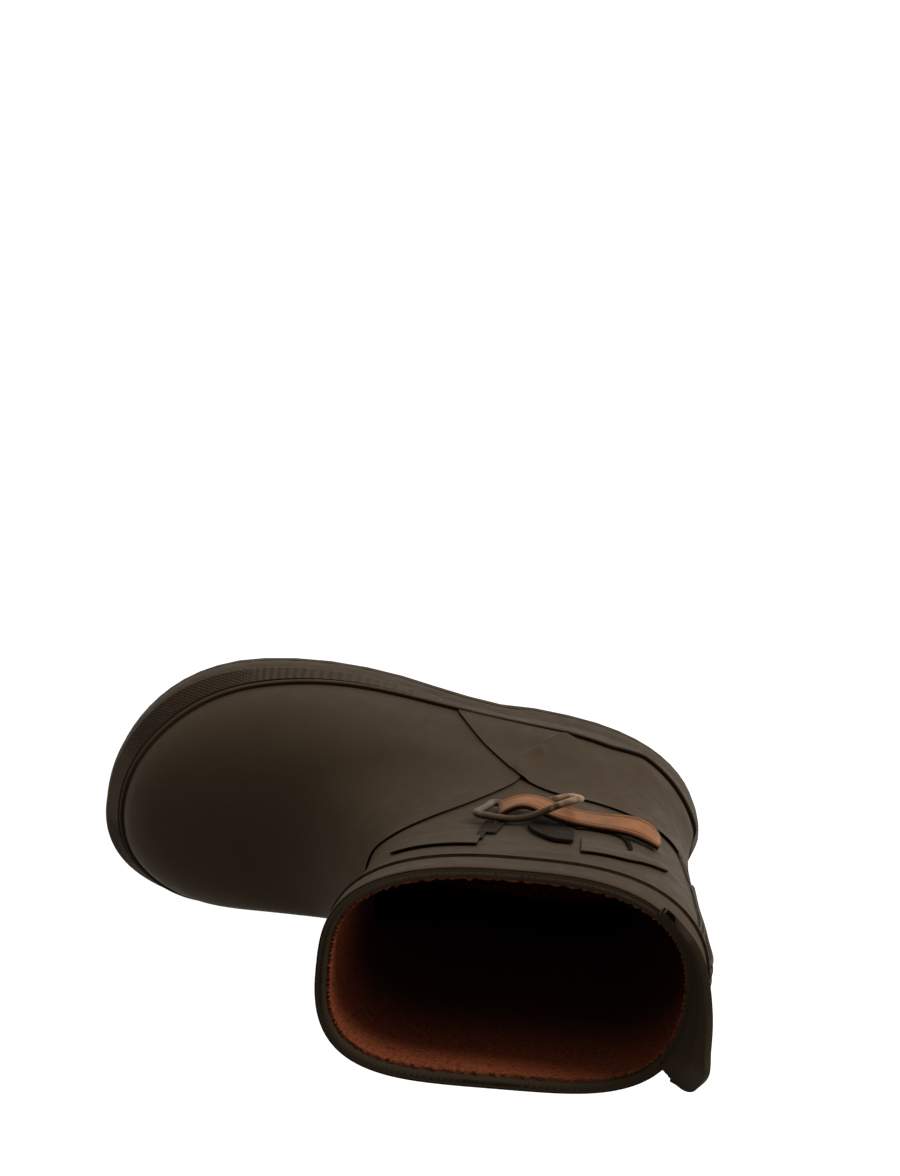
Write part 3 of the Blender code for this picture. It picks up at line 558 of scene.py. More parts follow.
def connect(tree, node, links=(), inputs=None):
    """Sets a node's inputs, and links others from (socket, node, output) triples."""
    for name, value in (inputs or {}).items():
        node.inputs[name].default_value = value
    for socket, source, output in links:
        tree.links.new(source.outputs[output], node.inputs[socket])
    return node


def add_node(tree, kind, links=(), inputs=None, **settings):
    """Adds a node with its settings, inputs and links."""
    node = tree.nodes.new(kind)
    for name, value in settings.items():
        setattr(node, name, value)
    return connect(tree, node, links, inputs)


def maths(tree, operation, first, second):
    """A maths node on two values, each a (node, output) pair or a number."""
    node = add_node(tree, "ShaderNodeMath", operation=operation)
    for place, given in enumerate((first, second)):
        if isinstance(given, tuple):
            connect(tree, node, [(place, *given)])
        else:
            connect(tree, node, inputs={place: given})
    return node


def new_finish(name):
    """An empty node material with its surface shader and its place in the object."""
    made = bpy.data.materials.new(name)
    made.use_nodes = True
    tree = made.node_tree
    return made, tree, tree.nodes["Principled BSDF"], add_node(tree, "ShaderNodeTexCoord")


def mixed(tree, first, second, source, output="Fac", low=0.0, high=1.0):
    """A colour between two, by a node's output between a low and a high value."""
    ramp = add_node(tree, "ShaderNodeValToRGB", [("Fac", source, output)])
    for element, colour, position in zip(ramp.color_ramp.elements, (first, second), (low, high)):
        element.color = (*colour, 1)
        element.position = position
    return ramp


def noise(tree, where, size, detail):
    """Cloudy variation of a size in metres."""
    return add_node(tree, "ShaderNodeTexNoise", [("Vector", where, "Object")], {"Scale": 1 / size, "Detail": detail})


def cells(tree, where, size):
    """A pattern of cells of a size in metres."""
    return add_node(tree, "ShaderNodeTexVoronoi", [("Vector", where, "Object")], {"Scale": 1 / size})


def bump(tree, height, output, strength, distance, under=None):
    """Relief of a depth in metres, laid over another one if given."""
    links = [("Height", height, output)]
    if under is not None:
        links.append(("Normal", under, "Normal"))
    return add_node(tree, "ShaderNodeBump", links, {"Strength": strength, "Distance": distance})


def shade(colour, factor):
    return tuple(min(c * factor, 1.0) for c in colour)


# Sockets of the mix node, whose names are the same for each data type: its share, its two colours and its result
MIX_SHARE, MIX_UNDER, MIX_OVER, MIX_RESULT = 0, 6, 7, 2


def marked(tree, mark, under, over):
    """A colour laid over another one, as far as the piece's mark of that name says."""
    share = add_node(tree, "ShaderNodeAttribute", attribute_name=mark)
    return add_node(tree, "ShaderNodeMix", [(MIX_SHARE, share, "Fac"), (MIX_UNDER, under, "Color")],
                    {MIX_OVER: (*over, 1)}, data_type="RGBA")


def rubber_finish(name, colour, roughness, grain=0.0005, knurled=False):
    """Natural rubber, calendered and vulcanised in an autoclave: a dull skin with a fine grain, a cloudy bloom and
    rubbed patches that catch the light."""
    made, tree, surface, where = new_finish(name)
    cloud = noise(tree, where, 0.035, 4)
    tint = mixed(tree, shade(colour, 0.93), shade(colour, 1.07), cloud, low=0.32, high=0.68)
    rub = noise(tree, where, 0.0045, 6)
    scuff = mixed(tree, (0, 0, 0), shade(colour, 0.05), rub, low=0.52, high=0.80)
    scuffed = add_node(tree, "ShaderNodeMix", [(MIX_UNDER, tint, "Color"), (MIX_OVER, scuff, "Color")],
                       {MIX_SHARE: 1.0}, data_type="RGBA", blend_type="ADD")
    gloss = add_node(tree, "ShaderNodeMapRange", [("Value", rub, "Fac")],
                     {"From Min": 0.35, "From Max": 0.7, "To Min": roughness + 0.08, "To Max": roughness - 0.06})
    relief = bump(tree, noise(tree, where, grain, 3), "Fac", 0.25, 0.00012)
    relief = bump(tree, noise(tree, where, 0.006, 2), "Fac", 0.07, 0.0004, relief)
    if knurled:
        relief = knurl(tree, relief)
    connect(tree, surface, [("Base Color", scuffed, MIX_RESULT), ("Roughness", gloss, "Result"),
                            ("Normal", relief, "Normal")], {"IOR": 1.5, "Specular IOR Level": 0.01})
    return made


def knurl(tree, under):
    """Rolled relief of the sole's band: diamonds round the toe and upright ribs behind them."""
    sizes = bpy.context.scene.boot_sizes
    half_pitch = sizes.knurl_pitch / 2
    chart = add_node(tree, "ShaderNodeUVMap", uv_map="pattern")
    parts = add_node(tree, "ShaderNodeSeparateXYZ", [("Vector", chart, "UV")])
    waves = []
    for operation in ("ADD", "SUBTRACT"):
        slant = maths(tree, operation, (parts, "X"), (parts, "Y"))
        # a metre more keeps the wave's place above nothing
        shift = maths(tree, "ADD", (slant, "Value"), 1.0)
        waves.append((maths(tree, "PINGPONG", (shift, "Value"), half_pitch), "Value"))
    heights = []
    for wave, mark in ((maths(tree, "MINIMUM", *waves), "diamond"),
                       (maths(tree, "PINGPONG", (parts, "X"), half_pitch), "rib")):
        amount = add_node(tree, "ShaderNodeAttribute", attribute_name=mark)
        heights.append((maths(tree, "MULTIPLY", (wave, "Value"), (amount, "Fac")), "Value"))
    # the wave is a height in metres, up to a quarter of its pitch
    return bump(tree, maths(tree, "ADD", *heights), "Value", 1.0, sizes.knurl_depth * 4 / sizes.knurl_pitch, under)


def shaded_cut_finish(colour):
    """The raw cut edge of a rubber sheet and the thin line at its foot: duller than its skin, and dark with painted
    shade of the step and gap there.
    """
    made, tree, surface, where = new_finish("cut rubber edge")
    tint = mixed(tree, shade(colour, 0.7), shade(colour, 1.3), noise(tree, where, 0.002, 4), low=0.35, high=0.65)
    connect(tree, surface, [("Base Color", tint, "Color")], {"Roughness": 0.9, "Specular IOR Level": 0.0})
    return made


def cotton_finish(colour, deep_shade):
    """Brushed cotton knit, bonded to the rubber: a dull fuzzy terracotta with painted shade in the hollows between its
    loops, and darkened with painted shade deep in the shaft."""
    made, tree, surface, where = new_finish("terracotta brushed cotton")
    loops = cells(tree, where, 0.0010)
    fuzz = noise(tree, where, 0.0005, 5)
    tint = mixed(tree, shade(colour, 1.35), shade(colour, 0.5), loops, "Distance")
    pile = maths(tree, "MULTIPLY", (loops, "Distance"), (fuzz, "Fac"))
    relief = bump(tree, pile, "Value", 0.9, 0.0006)
    relief.invert = True
    connect(tree, surface, [("Base Color", marked(tree, "deep", tint, deep_shade), MIX_RESULT),
                            ("Normal", relief, "Normal")],
            {"Roughness": 0.95, "Specular IOR Level": 0.05, "Sheen Weight": 0.2, "Sheen Roughness": 0.5,
             "Sheen Tint": (*shade(colour, 2.0), 1)})
    return made


def leather_finish(colour):
    """Vegetable-tanned strap leather, waxed: smooth, darker in its pores and along its cut and burnished edges."""
    made, tree, surface, where = new_finish("tan strap leather")
    hand = noise(tree, where, 0.006, 6)
    tint = mixed(tree, shade(colour, 0.74), shade(colour, 1.18), hand, low=0.3, high=0.68)
    pores = bump(tree, cells(tree, where, 0.0007), "Distance", 0.4, 0.00015)
    relief = bump(tree, noise(tree, where, 0.0016, 4), "Fac", 0.5, 0.0003, pores)
    connect(tree, surface, [("Base Color", marked(tree, "edge", tint, shade(colour, 0.28)), MIX_RESULT),
                            ("Normal", relief, "Normal")], {"Roughness": 0.55, "Specular IOR Level": 0.06})
    return made


def buckle_finish(colour, worn):
    """Zinc casting in a dull olive lacquer, rubbed through to its copper plate where it stands off."""
    made, tree, surface, where = new_finish("lacquered zinc")
    rub = noise(tree, where, 0.0022, 5)
    wear = add_node(tree, "ShaderNodeAttribute", attribute_name="worn")
    both = maths(tree, "ADD", (rub, "Fac"), (wear, "Fac"))
    tint = mixed(tree, colour, worn, both, "Value", 0.62, 0.95)
    relief = bump(tree, rub, "Fac", 0.6, 0.0003)
    connect(tree, surface, [("Base Color", tint, "Color"), ("Normal", relief, "Normal")],
            {"Metallic": 0.05, "Roughness": 0.45, "Specular IOR Level": 0.08})
    return made


def size_setting(name, description, default):
    return FloatProperty(name=name, description=description, default=default, unit="LENGTH")


def colour_setting(name, description, code):
    return FloatVectorProperty(name=name, description=description, subtype="COLOR", default=linear(code))


class BootSizes(bpy.types.PropertyGroup):
    wall: size_setting("Wall", "Rubber of the shaft at its rim", 0.0016)
    lining: size_setting("Lining", "Cotton lining", 0.0009)
    overlay: size_setting("Overlay", "Vamp and heel piece over the upper", 0.0004)
    knurl_pitch: size_setting("Knurl pitch", "Width of a diamond on the band round the sole", 0.0017)
    knurl_depth: size_setting("Knurl depth", "Height of a diamond", 0.00045)
    line_width: size_setting("Moulded line", "Width of the lines pressed beside the strap", 0.0010)
    round_steps: IntProperty(name="Steps round", description="Points round the upper", default=280, min=48)


class BootColours(bpy.types.PropertyGroup):
    rubber: colour_setting("Rubber", "Olive natural rubber of the upper", "403529")
    sole: colour_setting("Sole rubber", "Rubber of the sole and its band", "3F3428")
    # painted shade: this dark colour on cut edges, seams and pressed lines stands for the shadow of their steps and
    # gaps
    cut: colour_setting("Cut edges", "Raw edges of the rubber and their cement", "1F1711")
    lining: colour_setting("Lining", "Terracotta cotton", "86462C")
    # painted shade: the lining darkens towards this colour deep in the shaft, where shade falls
    deep_shade: colour_setting("Soiled lining", "Cotton darkened by wear, deep in the shaft", "2A1D17")
    leather: colour_setting("Leather", "Tan strap leather", "7B4C27")
    lacquer: colour_setting("Lacquer", "Dull olive lacquer of the buckle", "493829")
    copper: colour_setting("Copper", "Copper plate where the lacquer has worn through", "93785C")


class StudioSettings(bpy.types.PropertyGroup):
    key: FloatProperty(name="Key light", description="Power of the low light on the outer side", default=10.5,
                       unit="POWER")
    heel: FloatProperty(name="Heel light", description="Power of the light from behind the heel", default=4.5,
                        unit="POWER")
    fill: FloatProperty(name="Fill light", description="Strength of the pale surroundings", default=0.26)
    floor: FloatProperty(name="Floor glow", description="Light of the lit floor", default=0.94)


def finishes():
    """The boot's finishes, made once and then found by name."""
    colours = bpy.context.scene.boot_colours
    wanted = {
        "olive vulcanised rubber": lambda n: rubber_finish(n, tuple(colours.rubber), 0.52),
        "olive sole rubber": lambda n: rubber_finish(n, tuple(colours.sole), 0.56, 0.0006),
        "olive knurled rubber": lambda n: rubber_finish(n, tuple(colours.sole), 0.56, 0.0006, True),
        # painted shade: the buckle base and the chape line are darkened for the shadow of the buckle and strap over
        # them
        "dark moulded rubber": lambda n: rubber_finish(n, shade(tuple(colours.rubber), 0.32), 0.6),
        # painted shade on the cut edges, seams and pressed lines
        "cut rubber edge": lambda n: shaded_cut_finish(tuple(colours.cut)),
        "terracotta brushed cotton": lambda n: cotton_finish(tuple(colours.lining), tuple(colours.deep_shade)),
        "tan strap leather": lambda n: leather_finish(tuple(colours.leather)),
        "lacquered zinc": lambda n: buckle_finish(tuple(colours.lacquer), tuple(colours.copper)),
    }
    for name, make in wanted.items():
        if name not in bpy.data.materials:
            make(name).name = name
    return bpy.data.materials


def skin_pair(looks):
    """The rubber's skin and its cut edge in painted shade, for a piece cut from sheet."""
    return looks["olive vulcanised rubber"], looks["cut rubber edge"]


def edge_curve(rows, at):
    """Place and level along an overlay's edge, by the share of its rows."""
    place_of = np.linspace(0, 1, len(rows))
    return spline(place_of, [row.around for row in rows])(at), spline(place_of, [row.level for row in rows])(at)


def panel(edge, foot_from, foot_to, share, up):
    """Place and level of a point on an overlay, from the feather line to its edge."""
    around, level = edge_curve(edge, share)
    foot = foot_from + (foot_to - foot_from) * share
    foot_level = FEATHER_LEVEL - 0.006
    return foot * (1 - up) + around * up, foot_level * (1 - up) + level * up


def tucked(up):
    """How an overlay's foot dips behind the lip of the sole's band."""
    return 0.8 + 0.2 * smooth_step(up / 0.08)


def vamp_lift(around, level):
    """How far the vamp lifts what lies over it: 1 on the vamp, easing to 0 behind its edge."""
    edge_around, edge_level = edge_curve(VAMP_EDGE, np.linspace(0, 1, 200))
    edge = np.interp(level, edge_level[::-1], edge_around[::-1])
    return 1 - smooth_step((np.abs(around) - edge - 0.002) / 0.014)


class BOOT_OT_upper(bpy.types.Operator):
    """Makes the upper's rubber shell and the cotton lining inside it"""
    bl_idname = "boot.upper"
    bl_label = "Upper and lining"

    def execute(self, context):
        sizes = context.scene.boot_sizes
        looks = finishes()

        def outside(across, up):
            return rubber_shell(2 * across - 1, up, 0)

        upper = sheet("upper_rubber", sizes.round_steps, 150, outside, True, (0.30, 0.20))
        thicken(upper, sizes.wall)
        dress(upper, [looks["olive vulcanised rubber"]], "upper_rubber", "upper")

        # painted shade: the lining darkens from just under its rim down into the shaft
        def deep(across, up):
            return 1 - ramp_between(0.80, 0.965, up)

        def inside(across, up):
            around = 2 * across - 1
            tuft = np.sin(across * 931) * np.sin(across * 377 + 2) * 0.6 + np.sin(across * 1717 + 1) * 0.4
            level = up * (0.991 + 0.0035 * tuft * ramp_between(0.97, 1, up))
            points = rubber_shell(around, level, -sizes.wall - 0.00004 - 0.0003 * tuft * ramp_between(0.95, 1, up))
            points[:, 2] = np.maximum(points[:, 2], sole_top(points[:, 0]) + GAP)
            return points

        lining = sheet("lining", 400, 110, inside, True, (0.30, 0.20), None, {"deep": deep})
        thicken(lining, sizes.lining, 0.0004)
        dress(lining, [looks["terracotta brushed cotton"]], "lining", "upper")
        return {"FINISHED"}


class BOOT_OT_overlays(bpy.types.Operator):
    """Makes the vamp and the heel piece, each a thin layer with a cut edge darkened with painted shade of its step"""
    bl_idname = "boot.overlays"
    bl_label = "Vamp and heel piece"

    def execute(self, context):
        sizes = context.scene.boot_sizes
        looks = finishes()

        def vamp(across, up):
            side = np.where(across < 0.5, -1.0, 1.0)
            around, level = panel(VAMP_EDGE, 0, VAMP_EDGE[-1].around, np.abs(2 * across - 1), up)
            return rubber_shell(side * around, level, GAP + sizes.overlay)

        piece = sheet("vamp_rubber", 240, 110, vamp, False, (0.22, 0.10))
        thicken(piece, sizes.overlay, CUT_EDGE, True)
        dress(piece, skin_pair(looks), "upper_rubber", "vamp")

        def heel(across, up):
            outer = across > 0.5
            share = np.where(outer, 2 - 2 * across, 2 * across)
            around, level = panel(COUNTER_EDGE, COUNTER_EDGE[0].around, 1, share, up)
            lift = (sizes.overlay + GAP) * vamp_lift(around, level) + GAP
            # the edge stands a little open where the shaft bends away from it
            gape = ridge(around, 0.77, 0.05) * ramp_between(0.75, 1, up) * 0.0003
            stand = (lift + sizes.overlay) * tucked(up) + gape
            return rubber_shell(wrap(np.where(outer, -around, around)), level, stand)

        piece = sheet("heel_piece_rubber", 260, 90, heel, False, (0.18, 0.07))
        thicken(piece, sizes.overlay, CUT_EDGE, True)
        dress(piece, skin_pair(looks), "upper_rubber", "heel_counter")
        return {"FINISHED"}


class BOOT_OT_sole(bpy.types.Operator):
    """Makes the knurled band round the sole with its lip, and finishes the outsole and the insole"""
    bl_idname = "boot.sole"
    bl_label = "Sole"

    def execute(self, context):
        looks = finishes()
        columns, rows = 560, 44
        around = wrap(-1 + 2 * np.arange(columns + 1) / columns)
        base, outline, out = sole_outline_at(around)
        floor = sole_under(outline[:, 0]) + SOLE_FLANGE + GAP
        edge = rubber_shell(around, FEATHER_LEVEL, FOXING_EDGE)
        rise = edge[:, 2] - floor
        top = edge[:, 2]

        def at(plan, height):
            point = plan.copy()
            point[:, 2] = height
            return point

        def between(share, height, inset=0.0):
            return at(outline * (1 - share) + edge * share - out * inset, height)

        # the band's section from its foot inside to its lip on the feather line and back down
        section = [
            at(base + out * GAP, floor),
            between(0, floor, 0.0008),
            between(0, floor + 0.0002, 0.0002),
            between(0, floor + 0.0008),
            between(0, floor + rise * 0.24, -0.0001),
            between(0, floor + rise * 0.40, 0.0001),
            between(0.03, floor + rise * 0.47, 0.0002),
            between(0.11, floor + rise * 0.53),
            between(0.86, top - 0.0023),
            between(0.90, top - 0.0026, 0.0003),
            between(0.95, top - 0.0021, 0.0002),
            between(0.97, top - 0.0016, -0.0001),
            between(0.985, top - 0.0003),
            at(edge - out * 0.0003, top),
            at(edge - out * 0.0005, top - 0.0002),
            at(rubber_shell(around, FEATHER_LEVEL, GAP * 2), top - 0.0006),
            shell(around, FEATHER_LEVEL / 2, GAP),
            shell(around, 0, GAP),
        ]
        stops = np.array([0, 1, 2, 3, 6, 8, 11, 14, 32, 34, 35, 36, 38, 39, 40, 42, 43, 44])
        stack = np.array(section)
        lengths = np.linalg.norm(np.diff(stack[:, columns // 3], axis=0), axis=1)
        run = np.interp(np.arange(rows + 1), stops, np.concatenate([[0], np.cumsum(lengths)]))

        def band(across, up):
            column = np.rint(across * columns).astype(int)
            row = np.rint(up * rows).astype(int)
            k = np.clip(np.searchsorted(stops, row, side="right") - 1, 0, len(stops) - 2)
            share = ((row - stops[k]) / (stops[k + 1] - stops[k]))[:, None]
            return stack[k, column] * (1 - share) + stack[k + 1, column] * share

        # the relief lies on the rows of the slanting shoulder, and its diamonds give way to ribs between two places
        turn = (0.385, 0.43)

        def knurled(up):
            return ramp_between(12.5, 14.5, up * rows) * (1 - ramp_between(31, 32.5, up * rows))

        def diamond(across, up):
            far = np.abs(2 * across - 1)
            fade = np.where(across < 0.5, ramp_between(0.09, 0.20, far), ramp_between(0.02, 0.12, far))
            return knurled(up) * fade * (1 - ramp_between(*turn, far))

        def rib(across, up):
            far = np.abs(2 * across - 1)
            return knurled(up) * ramp_between(*turn, far) * (1 - ramp_between(0.50, 0.58, far)) * 0.8

        # a thin row of faces behind the band's lip takes the dark finish: painted shade of the gap between the lip and
        # the upper
        def shade_line(across, up):
            row = up * rows
            far = abs(2 * across - 1)
            return far > 0.42 and 33.5 < row < 34.5

        foxing = sheet("sole_band", columns, rows, band, True, (0.49, 1.0), shade_line, {"diamond": diamond, "rib": rib})
        chart = foxing.data.uv_layers["pattern"].data
        lift = np.array([v for pair in chart for v in pair.uv]).reshape(-1, 2)
        lift[:, 1] = np.interp(lift[:, 1] * rows, np.arange(rows + 1), run)
        chart.foreach_set("uv", lift.ravel())
        bridge_ends(foxing)
        dress(foxing, [looks["olive knurled rubber"], looks["cut rubber edge"]], "sole_rubber", "foxing")
        for node, finish in (("outsole", "olive sole rubber"), ("insole", "terracotta brushed cotton")):
            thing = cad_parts[node]
            thing.data.materials.clear()
            thing.data.materials.append(looks[finish])
        return {"FINISHED"}


class BOOT_OT_collar(bpy.types.Operator):
    """Makes the collar band, the backstay and the pull tab"""
    bl_idname = "boot.collar"
    bl_label = "Collar band, backstay and tab"

    def execute(self, context):
        sizes = context.scene.boot_sizes
        looks = finishes()
        low = float(level_for(0.5, SHAFT_HEIGHT - CUFF_HEIGHT))
        outer = GAP + CUFF_THICKNESS
        # section of the band: a bead at its foot with a line of painted shade over it, up its outside, over the rim in
        # a flat face with a line of painted shade at its outer corner, and down to the lining
        section = np.array([
            (low, 0.0001), (low, outer), (low + 0.001, outer + 0.0004), (low + 0.005, outer + 0.0005),
            (low + 0.007, outer - 0.0002), (low + 0.012, outer), (0.5 + low / 2, outer), (0.985, outer),
            (0.996, outer), (0.9995, outer - 0.0002), (1.0, outer - 0.0005), (1.0, outer - 0.0009),
            (1.0, -0.0002), (1.0, 0.0006 - sizes.wall), (0.998, 0.0002 - sizes.wall), (0.990, -sizes.wall),
            (0.975, -sizes.wall), (0.975, 0.0004 - sizes.wall),
        ])

        def cuff(across, up):
            k = np.rint(up * (len(section) - 1)).astype(int)
            level, stand = section[k, 0], section[k, 1]
            points = rubber_shell(2 * across - 1, level, stand)
            rim = np.minimum(points[:, 2], SHAFT_HEIGHT + 0.0002)
            points[:, 2] = np.where(level > 0.9999, rim, points[:, 2])
            return points

        # two rows take the dark finish: painted shade over the bead and at the rim's outer corner
        def shade_line(across, up):
            return int(up * (len(section) - 1)) in (3, 9)

        band = sheet("collar_band_rubber", sizes.round_steps + 60, len(section) - 1, cuff, True, (0.26, 0.02), shade_line)
        bridge_ends(band)
        dress(band, skin_pair(looks), "upper_rubber", "collar_band")

        start = float(skin(1.0, COUNTER_EDGE[-1].level)[2]) + BACKSTAY_CLEARANCE
        half = BACKSTAY_WIDTH / SHAFT_GIRTH

        def backstay(across, up):
            place = wrap(1 + half * (2 * across - 1))
            height = start + (SHAFT_HEIGHT - CUFF_HEIGHT - 3 * GAP - start) * up
            off = np.abs(2 * across - 1)
            relief = 0.0004 * ridge(off, 0.80, 0.10) - 0.0005 * ridge(off, 0.60, 0.06) + 0.0004 * ridge(off, 0.30, 0.22)
            return shell(place, level_for(place, height), GAP + BACKSTAY_THICKNESS + relief)

        stay = sheet("backstay_rubber", 60, 40, backstay, False, (0.017, 0.075))
        thicken(stay, BACKSTAY_THICKNESS, MOULDED_EDGE)
        dress(stay, skin_pair(looks), "upper_rubber", "backstay")

        lean_of = part_curve(TAB_LEAN)
        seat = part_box("back_tab")[0][2]

        def tab(across, up):
            # the top corners are round, and the outer end draws back
            drawn = -0.012 * ramp_between(0.93, 1, across)
            place = wrap(TAB_FROM + (TAB_TO - TAB_FROM) * across + drawn * up**2)
            corner = 1 - np.clip(across / 0.055, 0, 1)
            up = up * (0.45 + 0.55 * np.sqrt(1 - corner**2))
            ends = smooth_step(np.minimum(across, 1 - across) / TAB_END)
            base = skin(place, 1)
            out = across_out(place, 1)
            climb = up * (TAB_LOW + (TAB_HEIGHT - TAB_LOW) * ends)
            thick = CUFF_THICKNESS + (TAB_THICKNESS - CUFF_THICKNESS) * smooth_step(up * 2.5)
            lean = TAB_FLARE * lean_of(across) * (1 - 0.8 * ramp_between(0.84, 1, across))
            lean += 0.0014 * (1 - ramp_between(0.06, 0.25, across))
            # a bead along the tab's top, and a groove under it
            bead = 0.0002 * ridge(up, 0.86, 0.12) - 0.0003 * ridge(up, 0.62, 0.06)
            points = base + out * (GAP + lean * up**1.5 + thick + bead)[:, None]
            points[:, 2] = seat + climb
            return points

        piece = sheet("pull_tab_rubber", 110, 30, tab, False, (0.055, 0.0105))
        thicken(piece, TAB_THICKNESS * 0.9, MOULDED_EDGE)
        dress(piece, skin_pair(looks), "upper_rubber", "back_tab")
        return {"FINISHED"}


# Lines and ribs on the shaft beside the strap and the backstay: places and shares of the shaft's height along each
Line = namedtuple("Line", "around rise")
STRAP_LINE = table(Line,
    (-0.546, 0.664), (-0.569, 0.654), (-0.590, 0.655), (-0.606, 0.663), (-0.614, 0.684), (-0.617, 0.730),
    (-0.612, 0.752))
CHAPE_LINE = table(Line,
    (-0.4380, 0.800), (-0.4405, 0.725), (-0.4440, 0.665), (-0.4470, 0.710), (-0.4500, 0.755), (-0.4545, 0.705),
    (-0.4600, 0.665))
BACK_RIB = table(Line,
    (-0.815, 0.500), (-0.825, 0.640), (-0.822, 0.800), (-0.815, 0.920))


class BOOT_OT_raised(bpy.types.Operator):
    """Makes the low raised layers above and below the buckle and the lines pressed beside them"""
    bl_idname = "boot.raised"
    bl_label = "Raised wings and buckle base"

    def execute(self, context):
        sizes = context.scene.boot_sizes
        looks = finishes()
        base_low = STRAP_RISE + (STRAP_WIDTH / 2 + BUCKLE_CLEARANCE + BUCKLE_WIRE + BASE_CLEARANCE) / SHAFT_HEIGHT
        base_high = base_low + BASE_HEIGHT / SHAFT_HEIGHT
        layers = {name: (wing, WING_THIN * WING_THICKNESS, WING_THICKNESS * 0.6) for name, wing in WINGS.items()}
        layers["buckle_base"] = (Wing(BASE_FRONT, BASE_BACK, base_low, base_high, base_high),
                                 BASE_THIN * WING_THICKNESS * 0.5, WING_THICKNESS)
        for name, (wing, thin, thick) in layers.items():

            def layer(across, up, name=name, wing=wing, thin=thin, thick=thick):
                place = wing.back + (wing.front - wing.back) * across
                high = wing.high_back + (wing.high - wing.high_back) * across
                if name == "wing_back":
                    high -= 0.022 * ramp_between(0.5, 1, across)
                low_from = wing.low
                if name == "buckle_base":
                    low_from = wing.low - 0.012
                    high = wing.low + (high - wing.low) * np.sqrt(np.clip((1 - across) / 0.6, 0.04, 1))
                low = low_from + (high - low_from) * up
                stand = thin + (thick - thin) * smooth_step(up)
                return rubber_shell(place, level_for(place, SHAFT_HEIGHT * low), GAP + stand)

            piece = sheet(name + "_rubber", 70, 30, layer, False, (0.03, 0.02))
            # the wings' cut edges take the dark finish: painted shade of their step
            thicken(piece, GAP + thin, CUT_EDGE, name in WINGS)
            # the buckle base takes rubber darkened as painted shade of the buckle and strap over it
            pad = looks["olive vulcanised rubber" if name in WINGS else "dark moulded rubber"]
            dress(piece, [pad, looks["cut rubber edge"]], "upper_rubber", name)

        skin_finish, dark, cut = (looks[n] for n in (
            "olive vulcanised rubber", "dark moulded rubber", "cut rubber edge"))
        # the strap line and the chape line are drawn dark: painted shade of the groove by the strap and of the shadow
        # under the buckle
        for name, rows, shift, width, finish in (
                ("strap_line", STRAP_LINE, 0, sizes.line_width, cut),
                ("chape_line", CHAPE_LINE, 0, sizes.line_width * 1.2, dark),
                ("back_rib", BACK_RIB, 0, sizes.line_width * 1.3, skin_finish),
                ("second_back_rib", BACK_RIB, -0.024, sizes.line_width * 1.3, skin_finish)):
            stops = np.linspace(0, 1, len(rows))
            around_of = spline(stops, [row.around + shift for row in rows])
            rise_of = spline(stops, [row.rise for row in rows])

            def line(across, up, around_of=around_of, rise_of=rise_of, width=width):
                place, rise = around_of(across), rise_of(across)
                step = 0.002
                run = (around_of(across + step) - around_of(across - step)) * PLACE_LENGTH
                climb = (rise_of(across + step) - rise_of(across - step)) * SHAFT_HEIGHT
                length = np.hypot(run, climb)
                off = (up - 0.5) * width
                place = place - climb / length * off / PLACE_LENGTH
                height = SHAFT_HEIGHT * rise + run / length * off
                return rubber_shell(place, level_for(place, height), WING_THICKNESS * 0.5 + 0.0002)

            piece = sheet(name, 60, 4, line, False, (0.03, 0.001))
            thicken(piece, LINE_DEPTH, MOULDED_EDGE)
            dress(piece, [finish], "upper_rubber")
        return {"FINISHED"}


# How far the strap's lower and higher edge stand off the shaft along it, in metres: it humps through the buckle, comes
# down behind it, and its lower edge bows away again before the cut end
Bend = namedtuple("Bend", "share low high")
STRAP_BEND = table(Bend,
    (0.00, 0.0010, 0.0010), (0.06, 0.0026, 0.0029), (0.15, 0.0039, 0.0038), (0.22, 0.0036, 0.0027),
    (0.32, 0.0021, 0.0011), (0.42, 0.0011, 0.0004), (0.50, 0.0010, 0.0002), (0.60, 0.0016, 0.0004),
    (0.72, 0.0028, 0.0007), (0.84, 0.0029, 0.0007), (0.94, 0.0020, 0.0006), (1.00, 0.0009, 0.0005))


class BOOT_OT_strap(bpy.types.Operator):
    """Makes the leather strap, humped through the buckle and close along the shaft"""
    bl_idname = "boot.strap"
    bl_label = "Strap"

    def execute(self, context):
        shares = [row.share for row in STRAP_BEND]
        low_edge = spline(shares, [row.low for row in STRAP_BEND])
        high_edge = spline(shares, [row.high for row in STRAP_BEND])

        def side(up):
            return np.minimum(up, 1 - up) * STRAP_WIDTH

        def face(across, up):
            share = 1 - across
            back = STRAP_BACK - STRAP_SLANT * (1 - up)
            front = STRAP_FRONT + STRAP_LEAD
            place = front + (back - front) * share
            height = SHAFT_HEIGHT * STRAP_RISE + STRAP_WIDTH * (up - 0.5)
            groove = ridge(side(up), 0.0021, 0.00035) * 0.0003
            rounding = 0.0004 * (1 - np.clip(side(up) / 0.0008, 0, 1)) ** 2
            rise = low_edge(share) * (1 - up) + high_edge(share) * up
            stand = rise + STRAP_THICKNESS - groove - rounding
            return shell(place, level_for(place, height), stand)

        def edge(across, up):
            near = np.minimum(side(up), np.minimum(across, 1 - across) * 0.052)
            burnished = 0.95 * (1 - ramp_between(0.0003, 0.0012, near))
            creased = 0.6 * ridge(side(up), 0.0021, 0.0004)
            return 1 - (1 - burnished) * (1 - creased)

        strap = sheet("strap_leather", 140, 70, face, False, (0.054, 0.0145), None, {"edge": edge})
        thicken(strap, STRAP_THICKNESS - 0.0002, CUT_EDGE)
        dress(strap, [finishes()["tan strap leather"]], "strap_leather", "strap")
        return {"FINISHED"}


